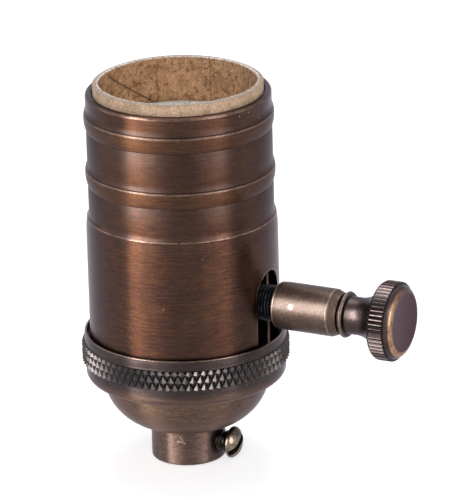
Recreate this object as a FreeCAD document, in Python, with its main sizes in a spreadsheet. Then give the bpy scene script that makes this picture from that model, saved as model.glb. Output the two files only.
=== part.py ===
import FreeCAD, Part
import math
import os
from types import SimpleNamespace

import Sketcher

# Turn knob lamp socket, in millimetres. The origin is the centre of the neck's end face,
# +Z runs up the socket to the lamp's opening, and +X runs out along the turn knob.
SIZES = {
    # Turned shell: plain body, two raised beads between narrower bands, and a folded rim.
    "shell_wall": 0.55,
    "band_inset": 0.6,
    "edge_inset": 0.21,
    "body_rise": 9.4,
    "body_shoulder": 2.9,
    "lower_bead_rise": 9.85,
    "upper_bead_rise": 10.9,
    "bead_height": 3.35,
    "bead_bow": 0.129,
    "flare_height": 1.25,
    "rim_rise": 3.7,
    "rim_width": 1.2,
    "rim_depth": 1.6,
    "rim_rounding": 0.6,
    "slot_room": 0.9,
    "slot_headroom": 2.15,
    # Cap: threaded neck, round bowl, shouldered foot, knurled band and rolled lip.
    "pipe_bore_radius": 4.4,
    "neck_wall": 2.73,
    "neck_height": 6.95,
    "neck_rounding": 0.45,
    "cap_wall": 1.1,
    "bowl_rise": 8.95,
    "bowl_bow": 0.336,
    "foot_width": 1.0,
    "foot_rise": 0.15,
    "shoulder_width": 1.6,
    "shoulder_rise": 0.9,
    "shoulder_inset": 0.6,
    "ring_foot_rise": 1.15,
    "ring_foot_bow": 0.212,
    "ring_wall": 0.85,
    "knurl_lift": 1.5,
    "knurl_proud": 0.75,
    "knurl_width": 4.8,
    "knurl_chamfer": 0.5,
    "lip_proud": 0.21,
    "lip_width": 1.7,
    "lip_rounding": 0.5,
    "lip_gap": 0.6,
    "lip_gap_depth": 1.2,
    "shell_fit": 0.1,
    "ledge_rise": 0.55,
    "well_fit": 0.2,
    "well_depth": 3.3,
    "disc_seat_width": 0.9,
    "disc_seat_wall": 1.65,
    # Insulation: fibre disc in the cap and card tube inside the shell.
    "disc_thickness": 0.8,
    "disc_hole_radius": 5.5,
    "disc_fit": 0.1,
    "tube_fit": 0.25,
    "tube_wall": 1.1,
    "tube_room": 1.45,
    "tube_proud": 2.15,
    "notch_room": 0.8,
    "notch_rise": 3.0,
    # Knob line: height of the knob's axis over the cap's lip, and the spindle.
    "knob_rise": 7.25,
    "spindle_radius": 1.6,
    "running_fit": 0.05,
    "seat_fit": 0.02,
    "spindle_bearing": 3.4,
    "spindle_grip": 6.6,
    "spindle_end_play": 0.2,
    # Switch housing: round body with a boss, a skirt below and a threaded neck.
    "housing_fit": 0.7,
    "switch_head": 3.45,
    "skirt_wall": 2.0,
    "boss_proud": 0.2,
    "boss_width": 12.0,
    "boss_lift": 3.0,
    "bush_radius": 3.5,
    "bush_grip": 3.95,
    "rotor_end_gap": 0.5,
    "drum_floor_gap": 1.15,
    "strip_room": 0.45,
    "flat_depth": 3.2,
    "flat_width": 10.4,
    "flat_rise": 3.0,
    "tab_recess_depth": 1.6,
    "tab_recess_play": 0.4,
    # Sleeve screwed on the threaded neck.
    "sleeve_stand_off": 2.1,
    "sleeve_length": 13.25,
    "sleeve_wall": 1.07,
    "sleeve_bore_play": 0.7,
    "sleeve_thread_play": 0.3,
    "sleeve_back_chamfer": 0.55,
    "sleeve_nose": 1.7,
    "sleeve_nose_drop": 0.62,
    # Knob: bead, waisted neck and serrated head, turned in one piece.
    "knob_gap": 0.3,
    "waist_wall": 2.02,
    "waist_length": 1.6,
    "waist_sweep": 4.65,
    "knob_bead_width": 1.25,
    "knob_bead_foot": 0.23,
    "knob_bead_rise": 0.59,
    "knob_bead_bow": 0.315,
    "head_radius": 7.6,
    "head_width": 3.45,
    "head_edge": 0.5,
    "head_edge_drop": 0.33,
    "head_step": 0.3,
    "face_bevel": 1.4,
    "face_bevel_width": 1.5,
    "face_bow": 0.293,
    "teeth": 54,
    "tooth_depth": 0.4,
    "tooth_gap": 0.62,
    "knob_hole_play": 0.5,
    # Rotor: drum, half band of brass let into it, and the clip that keeps the spindle in.
    "drum_radius": 4.2,
    "drum_half_length": 4.5,
    "key_flat": 1.2,
    "band_thickness": 0.6,
    "band_width": 6.0,
    "band_angle": 200.0,
    "clip_radius": 3.0,
    "clip_thickness": 0.5,
    "clip_groove_depth": 0.4,
    "clip_gap": 0.45,
    "clip_room": 0.25,
    "clip_mouth": 1.7,
    # Contact strips, all cut from one brass sheet.
    "strip_thickness": 0.4,
    "strip_width": 5.0,
    "strip_play": 0.1,
    "brush_gap": 0.15,
    "brush_reach": 3.0,
    "leg_lift": 0.4,
    "strap_lap": 1.0,
    "terminal_drop": 2.6,
    "terminal_plate_low": 2.8,
    "terminal_floor": 3.8,
    "terminal_screw_radius": 1.7,
    "terminal_screw_depth": 4.2,
    "terminal_hole_play": 0.2,
    "terminal_head_lap": 1.4,
    "terminal_head_height": 1.7,
    "screw_slot_width": 0.8,
    "screw_slot_depth": 0.8,
    # Upper insulator and the lamp's contacts.
    "insulator_thickness": 4.6,
    "pad_margin": 0.15,
    "pad_height": 1.0,
    "tongue_bend": 3.9,
    "tongue_tip": 2.2,
    "tongue_end": 3.6,
    "tongue_rise": 3.4,
    "tongue_rivet_radius": 0.7,
    "tongue_rivet_head": 1.1,
    "tongue_rivet_cap": 0.5,
    "pad_fit": 0.3,
    "thread_major_radius": 13.3,
    "thread_depth": 0.9,
    "thread_pitch": 3.63,
    "thread_rise": 2.0,
    "thread_turns": 4,
    "screw_shell_wall": 0.35,
    "mouth_length": 3.165,
    # Long rivets that hold the screw shell, the insulator and the housing together.
    "rivet_angle": 48.0,
    "rivet_margin": 0.22,
    "rivet_radius": 1.3,
    "rivet_head_lap": 0.9,
    "rivet_head_height": 0.7,
    # Set screw in the neck, backed out as supplied.
    "set_screw_height": 3.6,
    "set_screw_radius": 2.08,
    "set_screw_tip_gap": 0.2,
    "set_screw_stand_off": 1.87,
    "set_screw_head_height": 1.85,
    "set_screw_head_lap": 0.98,
    "set_screw_head_rounding": 1.25,
    "set_screw_slot_width": 1.0,
    "set_screw_slot_depth": 1.0,
    "set_screw_turn": 30.0,
}

doc = FreeCAD.newDocument("lamp_socket")
sheet = doc.addObject("Spreadsheet::Sheet", "Sizes")
for row, (alias, value) in enumerate(SIZES.items(), start=1):
    sheet.set("A%d" % row, alias)
    sheet.set("B%d" % row, str(value))
    sheet.setAlias("B%d" % row, alias)
doc.recompute()


class Size:
    """A number together with the sheet formula that gives it."""

    def __init__(self, number, formula):
        self.number = float(number)
        self.formula = formula

    def __add__(self, other):
        other = as_size(other)
        return Size(self.number + other.number, "(%s + %s)" % (self.formula, other.formula))

    def __sub__(self, other):
        other = as_size(other)
        return Size(self.number - other.number, "(%s - %s)" % (self.formula, other.formula))

    def __mul__(self, other):
        other = as_size(other)
        return Size(self.number * other.number, "(%s * %s)" % (self.formula, other.formula))

    def __truediv__(self, other):
        other = as_size(other)
        return Size(self.number / other.number, "(%s / %s)" % (self.formula, other.formula))

    def __neg__(self):
        return Size(-self.number, "(0 - %s)" % self.formula)

    def root(self):
        return Size(math.sqrt(self.number), "sqrt(%s)" % self.formula)

    __radd__ = __add__


def as_size(value):
    """Take a Size as it is and a plain number as a constant."""
    if isinstance(value, Size):
        return value
    return Size(value, repr(float(value)))


s = SimpleNamespace(**{alias: Size(value, "Sizes." + alias) for alias, value in SIZES.items()})
ZERO = Size(0.0, "0")
HALF = 0.5
# How far a cut runs past the face that it opens.
PAST = 1

# Widths that follow from the lamp's thread: tube and shell outwards, and the switch's housing.
s.thread_minor_radius = s.thread_major_radius - s.thread_depth
s.tube_radius = s.thread_major_radius + s.screw_shell_wall + s.tube_room + s.tube_wall
s.band_radius = s.tube_radius + s.tube_fit + s.rim_width
s.shell_radius = s.band_radius + s.band_inset
s.edge_radius = s.shell_radius - s.edge_inset
s.housing_radius = s.tube_radius - s.tube_wall - s.housing_fit
s.well_radius = s.housing_radius + s.well_fit
s.boss_reach = s.housing_radius + s.boss_proud
s.flat_reach = s.housing_radius - s.flat_depth
s.notch_half = s.boss_width * HALF + s.notch_room
s.slot_half = s.bush_radius + s.slot_room

# Widths of the cap, from the shell that it holds outwards and down to the neck.
s.shell_seat_radius = s.shell_radius + s.shell_fit
s.ring_radius = s.shell_seat_radius + s.ring_wall
s.knurl_radius = s.ring_radius + s.knurl_proud
s.lip_radius = s.ring_radius + s.lip_proud
s.shoulder_radius = s.ring_radius - s.shoulder_inset
s.foot_radius = s.shoulder_radius - s.shoulder_width
s.bowl_edge_radius = s.foot_radius - s.foot_width
s.neck_radius = s.pipe_bore_radius + s.neck_wall

# Heights of the cap, from its neck up, and of the switch that stands on its disc.
s.bowl_edge_height = s.neck_height + s.bowl_rise
s.foot_height = s.bowl_edge_height + s.foot_rise
s.shoulder_height = s.foot_height + s.shoulder_rise
s.ring_low = s.shoulder_height + s.ring_foot_rise
s.knurl_low = s.ring_low + s.knurl_lift
s.knurl_high = s.knurl_low + s.knurl_width
s.lip_top = s.knurl_high + s.lip_width
s.ledge_height = s.shoulder_height + s.ledge_rise
s.disc_seat_height = s.ledge_height - s.well_depth
s.disc_top = s.disc_seat_height + s.disc_thickness
s.knob_height = s.lip_top + s.knob_rise
s.cavity_floor = s.knob_height - s.drum_radius - s.drum_floor_gap
s.leg_height = s.cavity_floor + s.leg_lift
s.terminal_height = s.leg_height - s.terminal_drop
s.terminal_low = s.terminal_height - s.terminal_plate_low
s.housing_bottom = s.terminal_height - s.terminal_floor
s.housing_top = s.knob_height + s.drum_radius + s.switch_head
s.boss_bottom = s.disc_top + s.boss_lift
s.flat_top = s.cavity_floor + s.flat_rise
s.notch_top = s.housing_top + s.notch_rise

# Heights of the shell's edges, from the knob's slot up.
s.slot_top = s.knob_height + s.slot_half + s.slot_headroom
s.body_edge_height = s.slot_top + s.body_rise
s.lower_bead_edge = s.body_edge_height + s.lower_bead_rise
s.upper_bead_edge = s.lower_bead_edge + s.upper_bead_rise
s.shell_top = s.upper_bead_edge + s.rim_rise
s.tube_top = s.shell_top + s.tube_proud

# Places along the knob's axis, from the socket's axis outwards.
s.clip_start = s.drum_half_length + s.clip_gap
s.cavity_front = s.clip_start + s.clip_thickness + s.clip_room
s.cavity_back = s.drum_half_length + s.rotor_end_gap
s.spindle_back = s.cavity_back + s.spindle_bearing
s.sleeve_start = s.shell_radius + s.sleeve_stand_off
s.sleeve_end = s.sleeve_start + s.sleeve_length
s.bush_end = s.sleeve_start + s.bush_grip
s.knob_start = s.sleeve_end + s.knob_gap
s.spindle_end = s.knob_start + s.spindle_grip

# Widths of the sleeve, the knob and the screws' heads.
s.sleeve_radius = s.bush_radius + s.sleeve_wall
s.sleeve_nose_radius = s.sleeve_radius - s.sleeve_nose_drop
s.sleeve_bore_radius = s.spindle_radius + s.sleeve_bore_play
s.waist_radius = s.spindle_radius + s.waist_wall
s.knob_bead_root = s.waist_radius + s.knob_bead_foot
s.knob_bead_radius = s.knob_bead_root + s.knob_bead_rise
s.head_back_radius = s.head_radius - s.head_edge_drop
s.head_front_radius = s.head_radius - s.head_step
s.face_radius = s.head_front_radius - s.face_bevel_width
s.terminal_head_radius = s.terminal_screw_radius + s.terminal_head_lap
s.rivet_head_radius = s.rivet_radius + s.rivet_head_lap
s.set_screw_head_radius = s.set_screw_radius + s.set_screw_head_lap

# Places of the contact strips and the lamp's contacts.
s.brush_face = s.drum_radius + s.brush_gap
s.brush_back = s.brush_face + s.strip_thickness
s.strip_slot = s.strip_width * HALF + s.strip_play
s.cavity_half = s.brush_back + s.strip_room
s.tongue_rivet_position = s.brush_back + s.strip_play + s.tongue_rivet_head
s.tongue_root = s.tongue_rivet_position + s.tongue_rivet_head
s.pad_radius = s.tongue_root + s.pad_margin
s.floor_hole_radius = s.pad_radius + s.pad_fit
s.strap_end = s.floor_hole_radius + s.strap_lap
s.insulator_top = s.housing_top + s.insulator_thickness
s.pad_top = s.insulator_top + s.pad_height
s.floor_top = s.insulator_top + s.screw_shell_wall
s.rivet_circle = s.floor_hole_radius + s.rivet_margin + s.rivet_head_radius
s.rivet_x = s.rivet_circle * math.cos(math.radians(s.rivet_angle.number))
s.rivet_y = s.rivet_circle * math.sin(math.radians(s.rivet_angle.number))


def tangent_arc(across, along):
    """Radius of the arc that leaves a straight wall and reaches a point beside it."""
    return (across * across + along * along) / (across * 2)


def bowed_arc(across, along, bow):
    """Radius of the arc whose middle stands off its chord by a share of half the chord."""
    chord = (across * across + along * along).root()
    return chord * (bow * bow + 1) / (bow * 4)


def bind(feature, prop, value):
    """Tie one property of a feature to a sheet formula."""
    feature.setExpression(prop, as_size(value).formula)


def plane_of(body, role):
    """Find one of a body's own origin planes."""
    return next(item for item in body.Origin.OriginFeatures if item.Role == role)


def new_body(label):
    """Start a sub-part as a body of its own."""
    body = doc.addObject("PartDesign::Body", label)
    body.Label = label
    return body


def arc_middle(start, end, radius, side):
    """Middle point of an arc from start to end that bulges to the left (1) or right (-1)."""
    half_x, half_y = (end.x - start.x) / 2, (end.y - start.y) / 2
    half_chord = math.hypot(half_x, half_y)
    rise = radius - math.sqrt(radius * radius - half_chord * half_chord)
    normal = FreeCAD.Vector(-half_y, half_x, 0) * (side * rise / half_chord)
    return (start + end) * 0.5 + normal


def draw(body, name, role, corners):
    """Draw a closed outline on one of the body's planes and tie each corner to the sheet.

    A corner is (x, y) after a straight line, or (x, y, radius, side) after an arc.
    """
    sketch = body.newObject("Sketcher::SketchObject", name)
    sketch.AttachmentSupport = (plane_of(body, role), [""])
    sketch.MapMode = "FlatFace"
    corners = [tuple(as_size(v) for v in corner[:3]) + tuple(corner[3:]) for corner in corners]
    points = [FreeCAD.Vector(corner[0].number, corner[1].number, 0) for corner in corners]
    ends = []
    for index, corner in enumerate(corners):
        start, end = points[index - 1], points[index]
        if len(corner) == 2:
            edge = Part.LineSegment(start, end)
        else:
            edge = Part.Arc(start, arc_middle(start, end, corner[2].number, corner[3]), end)
        edge_id = sketch.addGeometry(edge, False)
        swapped = sketch.getPoint(edge_id, 1).distanceToPoint(start) > 1e-6
        ends.append((edge_id, 2, 1) if swapped else (edge_id, 1, 2))
    rules = []
    ties = []
    for index, corner in enumerate(corners):
        edge_id, _, last = ends[index]
        next_id, first, _ = ends[(index + 1) % len(ends)]
        rules.append(Sketcher.Constraint("Coincident", edge_id, last, next_id, first))
        for kind, axis_id, value in (("DistanceX", -2, corner[0]), ("DistanceY", -1, corner[1])):
            if value.formula == ZERO.formula:
                rules.append(Sketcher.Constraint("PointOnObject", edge_id, last, axis_id))
            else:
                ties.append((len(rules), value))
                rules.append(Sketcher.Constraint(kind, -1, 1, edge_id, last, value.number))
        if len(corner) > 2:
            ties.append((len(rules), corner[2]))
            rules.append(Sketcher.Constraint("Radius", edge_id, corner[2].number))
    sketch.addConstraint(rules)
    for index, value in ties:
        bind(sketch, "Constraints[%d]" % index, value)
    return sketch


def revolve(body, name, role, axis, corners):
    """Turn an outline about the sketch's vertical or horizontal axis."""
    turned = body.newObject("PartDesign::Revolution", name)
    turned.Profile = draw(body, name + "_outline", role, corners)
    turned.ReferenceAxis = (turned.Profile[0], [axis])
    turned.Angle = 360
    return turned


def turned_about_z(label, corners):
    """A piece turned about the socket's axis, drawn as radius and height."""
    body = new_body(label)
    revolve(body, label + "_turning", "XZ_Plane", "V_Axis", corners)
    return body


def turned_about_x(label, corners, height):
    """A piece turned about an axis along X, drawn as place along X and radius."""
    body = new_body(label)
    revolve(body, label + "_turning", "XZ_Plane", "H_Axis", corners)
    bind(body, "Placement.Base.z", height)
    return body


def pocket_along_x(body, name, corners, depth):
    """Cut a YZ outline out of the body from the socket's axis out along +X."""
    doc.recompute()
    before = body.Shape.Volume
    cut = body.newObject("PartDesign::Pocket", name)
    cut.Profile = draw(body, name + "_outline", "YZ_Plane", corners)
    cut.Reversed = True
    bind(cut, "Length", depth)
    doc.recompute()
    if body.Shape.Volume >= before:
        raise RuntimeError(name + " cuts nothing")
    return cut


def padded_strip(label, corners):
    """A folded strip of brass sheet, drawn in YZ and as wide as the strip along X."""
    body = new_body(label)
    strip = body.newObject("PartDesign::Pad", label + "_sheet")
    strip.Profile = draw(body, label + "_outline", "YZ_Plane", corners)
    strip.SideType = "Symmetric"
    bind(strip, "Length", s.strip_width)
    return body


def place(feature, x, y, z):
    """Tie a feature's position to the sheet."""
    bind(feature, "Placement.Base.x", x)
    bind(feature, "Placement.Base.y", y)
    bind(feature, "Placement.Base.z", z)


def box(name, low, high):
    """A block between two opposite corners."""
    block = doc.addObject("Part::Box", name)
    low = [as_size(v) for v in low]
    high = [as_size(v) for v in high]
    bind(block, "Length", high[0] - low[0])
    bind(block, "Width", high[1] - low[1])
    bind(block, "Height", high[2] - low[2])
    place(block, *low)
    return block


# Turns that lay a cylinder's axis along each direction.
ALONG = {
    "+X": FreeCAD.Rotation(FreeCAD.Vector(0, 1, 0), 90),
    "+Y": FreeCAD.Rotation(FreeCAD.Vector(1, 0, 0), -90),
    "-Y": FreeCAD.Rotation(FreeCAD.Vector(1, 0, 0), 90),
    "+Z": FreeCAD.Rotation(),
}


def rod(name, radius, start, length, direction):
    """A cylinder from its start point along one direction."""
    cylinder = doc.addObject("Part::Cylinder", name)
    cylinder.Placement = FreeCAD.Placement(FreeCAD.Vector(), ALONG[direction])
    bind(cylinder, "Radius", radius)
    bind(cylinder, "Height", length)
    place(cylinder, *[as_size(v) for v in start])
    return cylinder


def join(name, pieces):
    """One solid out of several that touch."""
    whole = doc.addObject("Part::MultiFuse", name)
    whole.Shapes = pieces
    whole.Refine = True
    return whole


def cut_from(name, base, tools):
    """Cut one tool, or several joined ones, out of a solid."""
    tool = tools[0] if len(tools) == 1 else join(name + "_cuts", tools)
    rest = doc.addObject("Part::Cut", name)
    rest.Base = base
    rest.Tool = tool
    return rest


def common(name, base, tool):
    """The volume that two solids share."""
    shared = doc.addObject("Part::Common", name)
    shared.Base = base
    shared.Tool = tool
    return shared


def group(label, pieces):
    """Like pieces that share a node as separate solids."""
    together = doc.addObject("Part::Compound", label)
    together.Links = pieces
    return together


def make_shell():
    """Spun shell: body, shoulder, two beads with a sharp upper edge, band and folded rim."""
    inside = s.shell_radius - s.shell_wall
    band_inside = s.band_radius - s.shell_wall
    rim_inside = s.band_radius - s.rim_width
    flare_arc = tangent_arc(s.edge_radius - s.band_radius, s.flare_height)
    shoulder_arc = tangent_arc(s.shell_radius - s.edge_radius, s.body_shoulder)
    bead_arc = bowed_arc(s.edge_radius - s.band_radius, s.bead_height, s.bead_bow)
    outline = [
        (inside, s.ledge_height),
        (s.shell_radius, s.ledge_height),
        (s.shell_radius, s.body_edge_height - s.body_shoulder),
        (s.edge_radius, s.body_edge_height, shoulder_arc, -1),
        (s.band_radius, s.body_edge_height + s.flare_height, flare_arc, 1),
    ]
    for edge in (s.lower_bead_edge, s.upper_bead_edge):
        outline += [
            (s.band_radius, edge - s.bead_height),
            (s.edge_radius, edge, bead_arc, -1),
            (s.band_radius, edge + s.flare_height, flare_arc, 1),
        ]
    outline += [
        (s.band_radius, s.shell_top - s.rim_rounding),
        (s.band_radius - s.rim_rounding, s.shell_top, s.rim_rounding, -1),
        (rim_inside, s.shell_top),
        (rim_inside, s.shell_top - s.rim_depth),
        (band_inside, s.shell_top - s.rim_depth),
        (band_inside, s.body_edge_height + s.flare_height),
        (inside, s.body_edge_height - s.body_shoulder),
    ]
    body = turned_about_z("shell", outline)
    half = s.slot_half
    pocket_along_x(body, "knob_slot", [
        (half, s.ledge_height - PAST),
        (half, s.slot_top - half),
        (ZERO, s.slot_top, half, -1),
        (-half, s.slot_top - half, half, -1),
        (-half, s.ledge_height - PAST),
    ], s.shell_radius + PAST)
    return body


def make_cap():
    """Turned cap with its knurled ring, bowl and neck, bored for the pipe and the set screw."""
    bore = s.shell_seat_radius
    lip_inside = s.shell_radius + s.lip_gap
    inner_edge = s.well_radius - s.disc_seat_width
    inner_edge_height = s.disc_seat_height - s.disc_seat_wall
    inner_floor = s.neck_height + s.cap_wall
    bowl_arc = bowed_arc(s.bowl_edge_radius - s.neck_radius, s.bowl_rise, s.bowl_bow)
    ring_foot_arc = bowed_arc(s.shoulder_inset, s.ring_foot_rise, s.ring_foot_bow)
    inner_arc = bowl_arc - s.cap_wall
    outline = [
        (s.pipe_bore_radius, ZERO),
        (s.neck_radius - s.neck_rounding, ZERO),
        (s.neck_radius, s.neck_rounding, s.neck_rounding, -1),
        (s.neck_radius, s.neck_height),
        (s.bowl_edge_radius, s.bowl_edge_height, bowl_arc, -1),
        (s.foot_radius, s.foot_height),
        (s.shoulder_radius, s.shoulder_height),
        (s.ring_radius, s.ring_low, ring_foot_arc, -1),
        (s.ring_radius, s.knurl_low),
        (s.knurl_radius, s.knurl_low + s.knurl_chamfer),
        (s.knurl_radius, s.knurl_high - s.knurl_chamfer),
        (s.lip_radius, s.knurl_high),
        (s.lip_radius, s.lip_top - s.lip_rounding),
        (s.lip_radius - s.lip_rounding, s.lip_top, s.lip_rounding, -1),
        (lip_inside, s.lip_top),
        (lip_inside, s.lip_top - s.lip_gap_depth),
        (bore, s.lip_top - s.lip_gap_depth),
        (bore, s.ledge_height),
        (s.well_radius, s.ledge_height),
        (s.well_radius, s.disc_seat_height),
        (inner_edge, s.disc_seat_height),
        (inner_edge, inner_edge_height),
        (s.neck_radius, inner_floor, inner_arc, 1),
        (s.pipe_bore_radius, inner_floor),
    ]
    turned = turned_about_z("cap_turning", outline)
    screw_hole = rod("set_screw_hole", s.set_screw_radius + s.seat_fit,
                     (ZERO, ZERO, s.set_screw_height), s.neck_radius + PAST, "+X")
    return cut_from("cap", turned, [screw_hole])


def make_cap_disc():
    """Fibre disc that keeps the wires off the cap, laid on its step."""
    edge = s.well_radius - s.disc_fit
    return turned_about_z("cap_disc", [
        (s.disc_hole_radius, s.disc_seat_height),
        (edge, s.disc_seat_height),
        (edge, s.disc_top),
        (s.disc_hole_radius, s.disc_top),
    ])


def make_card_tube():
    """Wound card tube that lines the shell, notched for the switch's boss."""
    inside = s.tube_radius - s.tube_wall
    body = turned_about_z("card_tube", [
        (inside, s.ledge_height),
        (s.tube_radius, s.ledge_height),
        (s.tube_radius, s.tube_top),
        (inside, s.tube_top),
    ])
    pocket_along_x(body, "boss_notch", [
        (s.notch_half, s.ledge_height - PAST),
        (s.notch_half, s.notch_top),
        (-s.notch_half, s.notch_top),
        (-s.notch_half, s.ledge_height - PAST),
    ], s.tube_radius + PAST)
    return body


def rivet_holes(name, low, high):
    """Holes for the two long rivets through a layer."""
    radius = s.rivet_radius + s.seat_fit
    return [
        rod(name + "_front", radius, (s.rivet_x, s.rivet_y, low), high - low, "+Z"),
        rod(name + "_back", radius, (-s.rivet_x, -s.rivet_y, low), high - low, "+Z"),
    ]


def make_housing():
    """Moulded switch housing with its boss, skirt, neck and switch chamber."""
    height = s.housing_top - s.housing_bottom
    half_boss = s.boss_width * HALF
    half_flat = s.flat_width * HALF
    body = join("housing_mass", [
        rod("housing_drum", s.housing_radius, (ZERO, ZERO, s.housing_bottom), height, "+Z"),
        rod("skirt", s.housing_radius, (ZERO, ZERO, s.disc_top), s.housing_bottom - s.disc_top,
            "+Z"),
        box("boss", (ZERO, -half_boss, s.boss_bottom), (s.boss_reach, half_boss, s.housing_top)),
        rod("bush", s.bush_radius, (ZERO, ZERO, s.knob_height), s.bush_end, "+X"),
    ])
    outside = s.housing_radius + PAST
    wire_room = rod("wire_room", s.housing_radius - s.skirt_wall, (ZERO, ZERO, s.disc_top - PAST),
                    s.housing_bottom - s.disc_top + PAST, "+Z")
    cavity = box("switch_room", (-s.cavity_back, -s.cavity_half, s.cavity_floor),
                 (s.cavity_front, s.cavity_half, s.housing_top + PAST))
    bore_start = -s.spindle_back - s.spindle_end_play
    spindle_bore = rod("spindle_bore", s.spindle_radius + s.running_fit,
                       (bore_start, ZERO, s.knob_height), s.bush_end - bore_start + PAST, "+X")
    screw_radius = s.terminal_screw_radius + s.seat_fit
    screw_depth = s.terminal_screw_depth + s.terminal_hole_play + PAST
    line_flat = box("line_flat", (-half_flat, -outside, s.disc_top - PAST),
                    (half_flat, -s.flat_reach, s.flat_top))
    neutral_flat = box("neutral_flat", (-half_flat, s.flat_reach, s.disc_top - PAST),
                       (half_flat, outside, s.flat_top))
    neutral_channel = box("neutral_channel", (-s.strip_slot, s.flat_reach, s.flat_top - PAST),
                          (s.strip_slot, outside, s.housing_top + PAST))
    line_hole = rod("line_hole", screw_radius, (ZERO, -s.flat_reach - PAST, s.terminal_height),
                    screw_depth, "+Y")
    neutral_hole = rod("neutral_hole", screw_radius,
                       (ZERO, s.flat_reach + PAST, s.terminal_height), screw_depth, "-Y")
    leg_top = s.leg_height + s.strip_thickness
    leg_slot = box("leg_slot",
                   (-s.strip_slot, -s.flat_reach - PAST, s.leg_height - s.strip_play),
                   (s.strip_slot, -s.cavity_half + PAST, leg_top + s.strip_play))
    tab_recess = box("tab_recess",
                     (-s.strip_slot, s.cavity_half - PAST, s.housing_top - s.tab_recess_depth),
                     (s.strip_slot, s.tongue_root + s.tab_recess_play, s.housing_top + PAST))
    cuts = [wire_room, cavity, spindle_bore, line_flat, neutral_flat, neutral_channel,
            line_hole, neutral_hole, leg_slot, tab_recess]
    cuts += rivet_holes("housing_rivet_hole", s.housing_bottom - PAST, s.housing_top + PAST)
    return cut_from("switch_housing", body, cuts)


def make_insulator():
    """Moulded disc that closes the switch chamber and carries the lamp's contacts."""
    body = join("insulator_mass", [
        rod("insulator_disc", s.housing_radius, (ZERO, ZERO, s.housing_top),
            s.insulator_thickness, "+Z"),
        rod("contact_pad", s.pad_radius, (ZERO, ZERO, s.housing_top), s.pad_top - s.housing_top,
            "+Z"),
    ])
    channel = box("insulator_channel", (-s.strip_slot, s.flat_reach, s.housing_top - PAST),
                  (s.strip_slot, s.housing_radius + PAST, s.insulator_top + PAST))
    strap_seat = box("strap_seat",
                     (-s.strip_slot, s.strap_end - s.strip_play,
                      s.insulator_top - s.strip_thickness),
                     (s.strip_slot, s.flat_reach + PAST, s.insulator_top + PAST))
    cuts = [channel, strap_seat, tongue_rivet_hole("insulator_hole", s.housing_top, s.pad_top)]
    cuts += rivet_holes("insulator_rivet_hole", s.housing_top - PAST, s.pad_top + PAST)
    return cut_from("upper_insulator", body, cuts)


def tongue_rivet_hole(name, low, high):
    """Hole for the tongue's rivet through a layer."""
    return rod(name, s.tongue_rivet_radius + s.seat_fit,
               (ZERO, s.tongue_rivet_position, low - PAST), high - low + PAST * 2, "+Z")


def make_screw_shell():
    """Drawn aluminium screw shell: floor with a hole, rolled thread, plain mouth and rim."""
    wall = s.screw_shell_wall
    thread_start = s.insulator_top + s.thread_rise
    inner = []
    outer = []
    for turn in range(int(s.thread_turns.number)):
        low = thread_start + s.thread_pitch * turn
        crest = low + s.thread_pitch * HALF
        inner += [(s.thread_minor_radius, low), (s.thread_major_radius, crest)]
        outer += [(s.thread_minor_radius + wall, low), (s.thread_major_radius + wall, crest)]
    last = thread_start + s.thread_pitch * s.thread_turns
    mouth = last + s.thread_pitch * HALF
    top = mouth + s.mouth_length
    inner += [(s.thread_minor_radius, last),
              (s.thread_major_radius, mouth),
              (s.thread_major_radius, top)]
    outer += [(s.thread_minor_radius + wall, last),
              (s.thread_major_radius + wall, mouth),
              (s.thread_major_radius + wall, top)]
    outline = [
        (s.floor_hole_radius, s.floor_top),
        (s.thread_minor_radius, s.floor_top),
    ] + inner + outer[::-1] + [
        (s.thread_minor_radius + wall, s.insulator_top),
        (s.floor_hole_radius, s.insulator_top),
    ]
    shell = turned_about_z("screw_shell_turning", outline)
    return cut_from("screw_shell", shell,
                    rivet_holes("floor_rivet_hole", s.insulator_top - PAST, s.floor_top + PAST))


def make_rivets():
    """Two long rivets with a head at each end."""
    places = (("front_rivet", s.rivet_x, s.rivet_y), ("back_rivet", -s.rivet_x, -s.rivet_y))
    rivets = []
    for name, x, y in places:
        rivet = turned_about_z(name, [
            (ZERO, s.housing_bottom - s.rivet_head_height),
            (s.rivet_head_radius, s.housing_bottom - s.rivet_head_height),
            (s.rivet_head_radius, s.housing_bottom),
            (s.rivet_radius, s.housing_bottom),
            (s.rivet_radius, s.floor_top),
            (s.rivet_head_radius, s.floor_top),
            (s.rivet_head_radius, s.floor_top + s.rivet_head_height),
            (ZERO, s.floor_top + s.rivet_head_height),
        ])
        bind(rivet, "Placement.Base.x", x)
        bind(rivet, "Placement.Base.y", y)
        rivets.append(rivet)
    return group("assembly_rivets", rivets)


def make_tongue():
    """Sprung centre contact: root on the pad, blade rising to a rounded tip."""
    high = s.pad_top + s.strip_thickness
    tip = s.pad_top + s.tongue_rise
    sheet_body = padded_strip("contact_tongue_sheet", [
        (s.tongue_root, s.pad_top),
        (s.tongue_root, high),
        (s.tongue_bend, high),
        (-s.tongue_tip, tip + s.strip_thickness),
        (-s.tongue_end, tip),
        (-s.tongue_end, tip - s.strip_thickness),
        (-s.tongue_tip, tip),
        (s.tongue_bend, s.pad_top),
    ])
    return cut_from("contact_tongue", sheet_body,
                    [tongue_rivet_hole("tongue_hole", s.pad_top, high)])


def make_tongue_rivet():
    """Rivet that ties the tongue to the lamp contact through the insulator."""
    top = s.pad_top + s.strip_thickness
    bottom = s.housing_top - s.strip_thickness
    body = turned_about_z("tongue_rivet", [
        (ZERO, bottom - s.tongue_rivet_cap),
        (s.tongue_rivet_head, bottom - s.tongue_rivet_cap),
        (s.tongue_rivet_head, bottom),
        (s.tongue_rivet_radius, bottom),
        (s.tongue_rivet_radius, top),
        (s.tongue_rivet_head, top),
        (s.tongue_rivet_head, top + s.tongue_rivet_cap),
        (ZERO, top + s.tongue_rivet_cap),
    ])
    bind(body, "Placement.Base.y", s.tongue_rivet_position)
    return body


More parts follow.
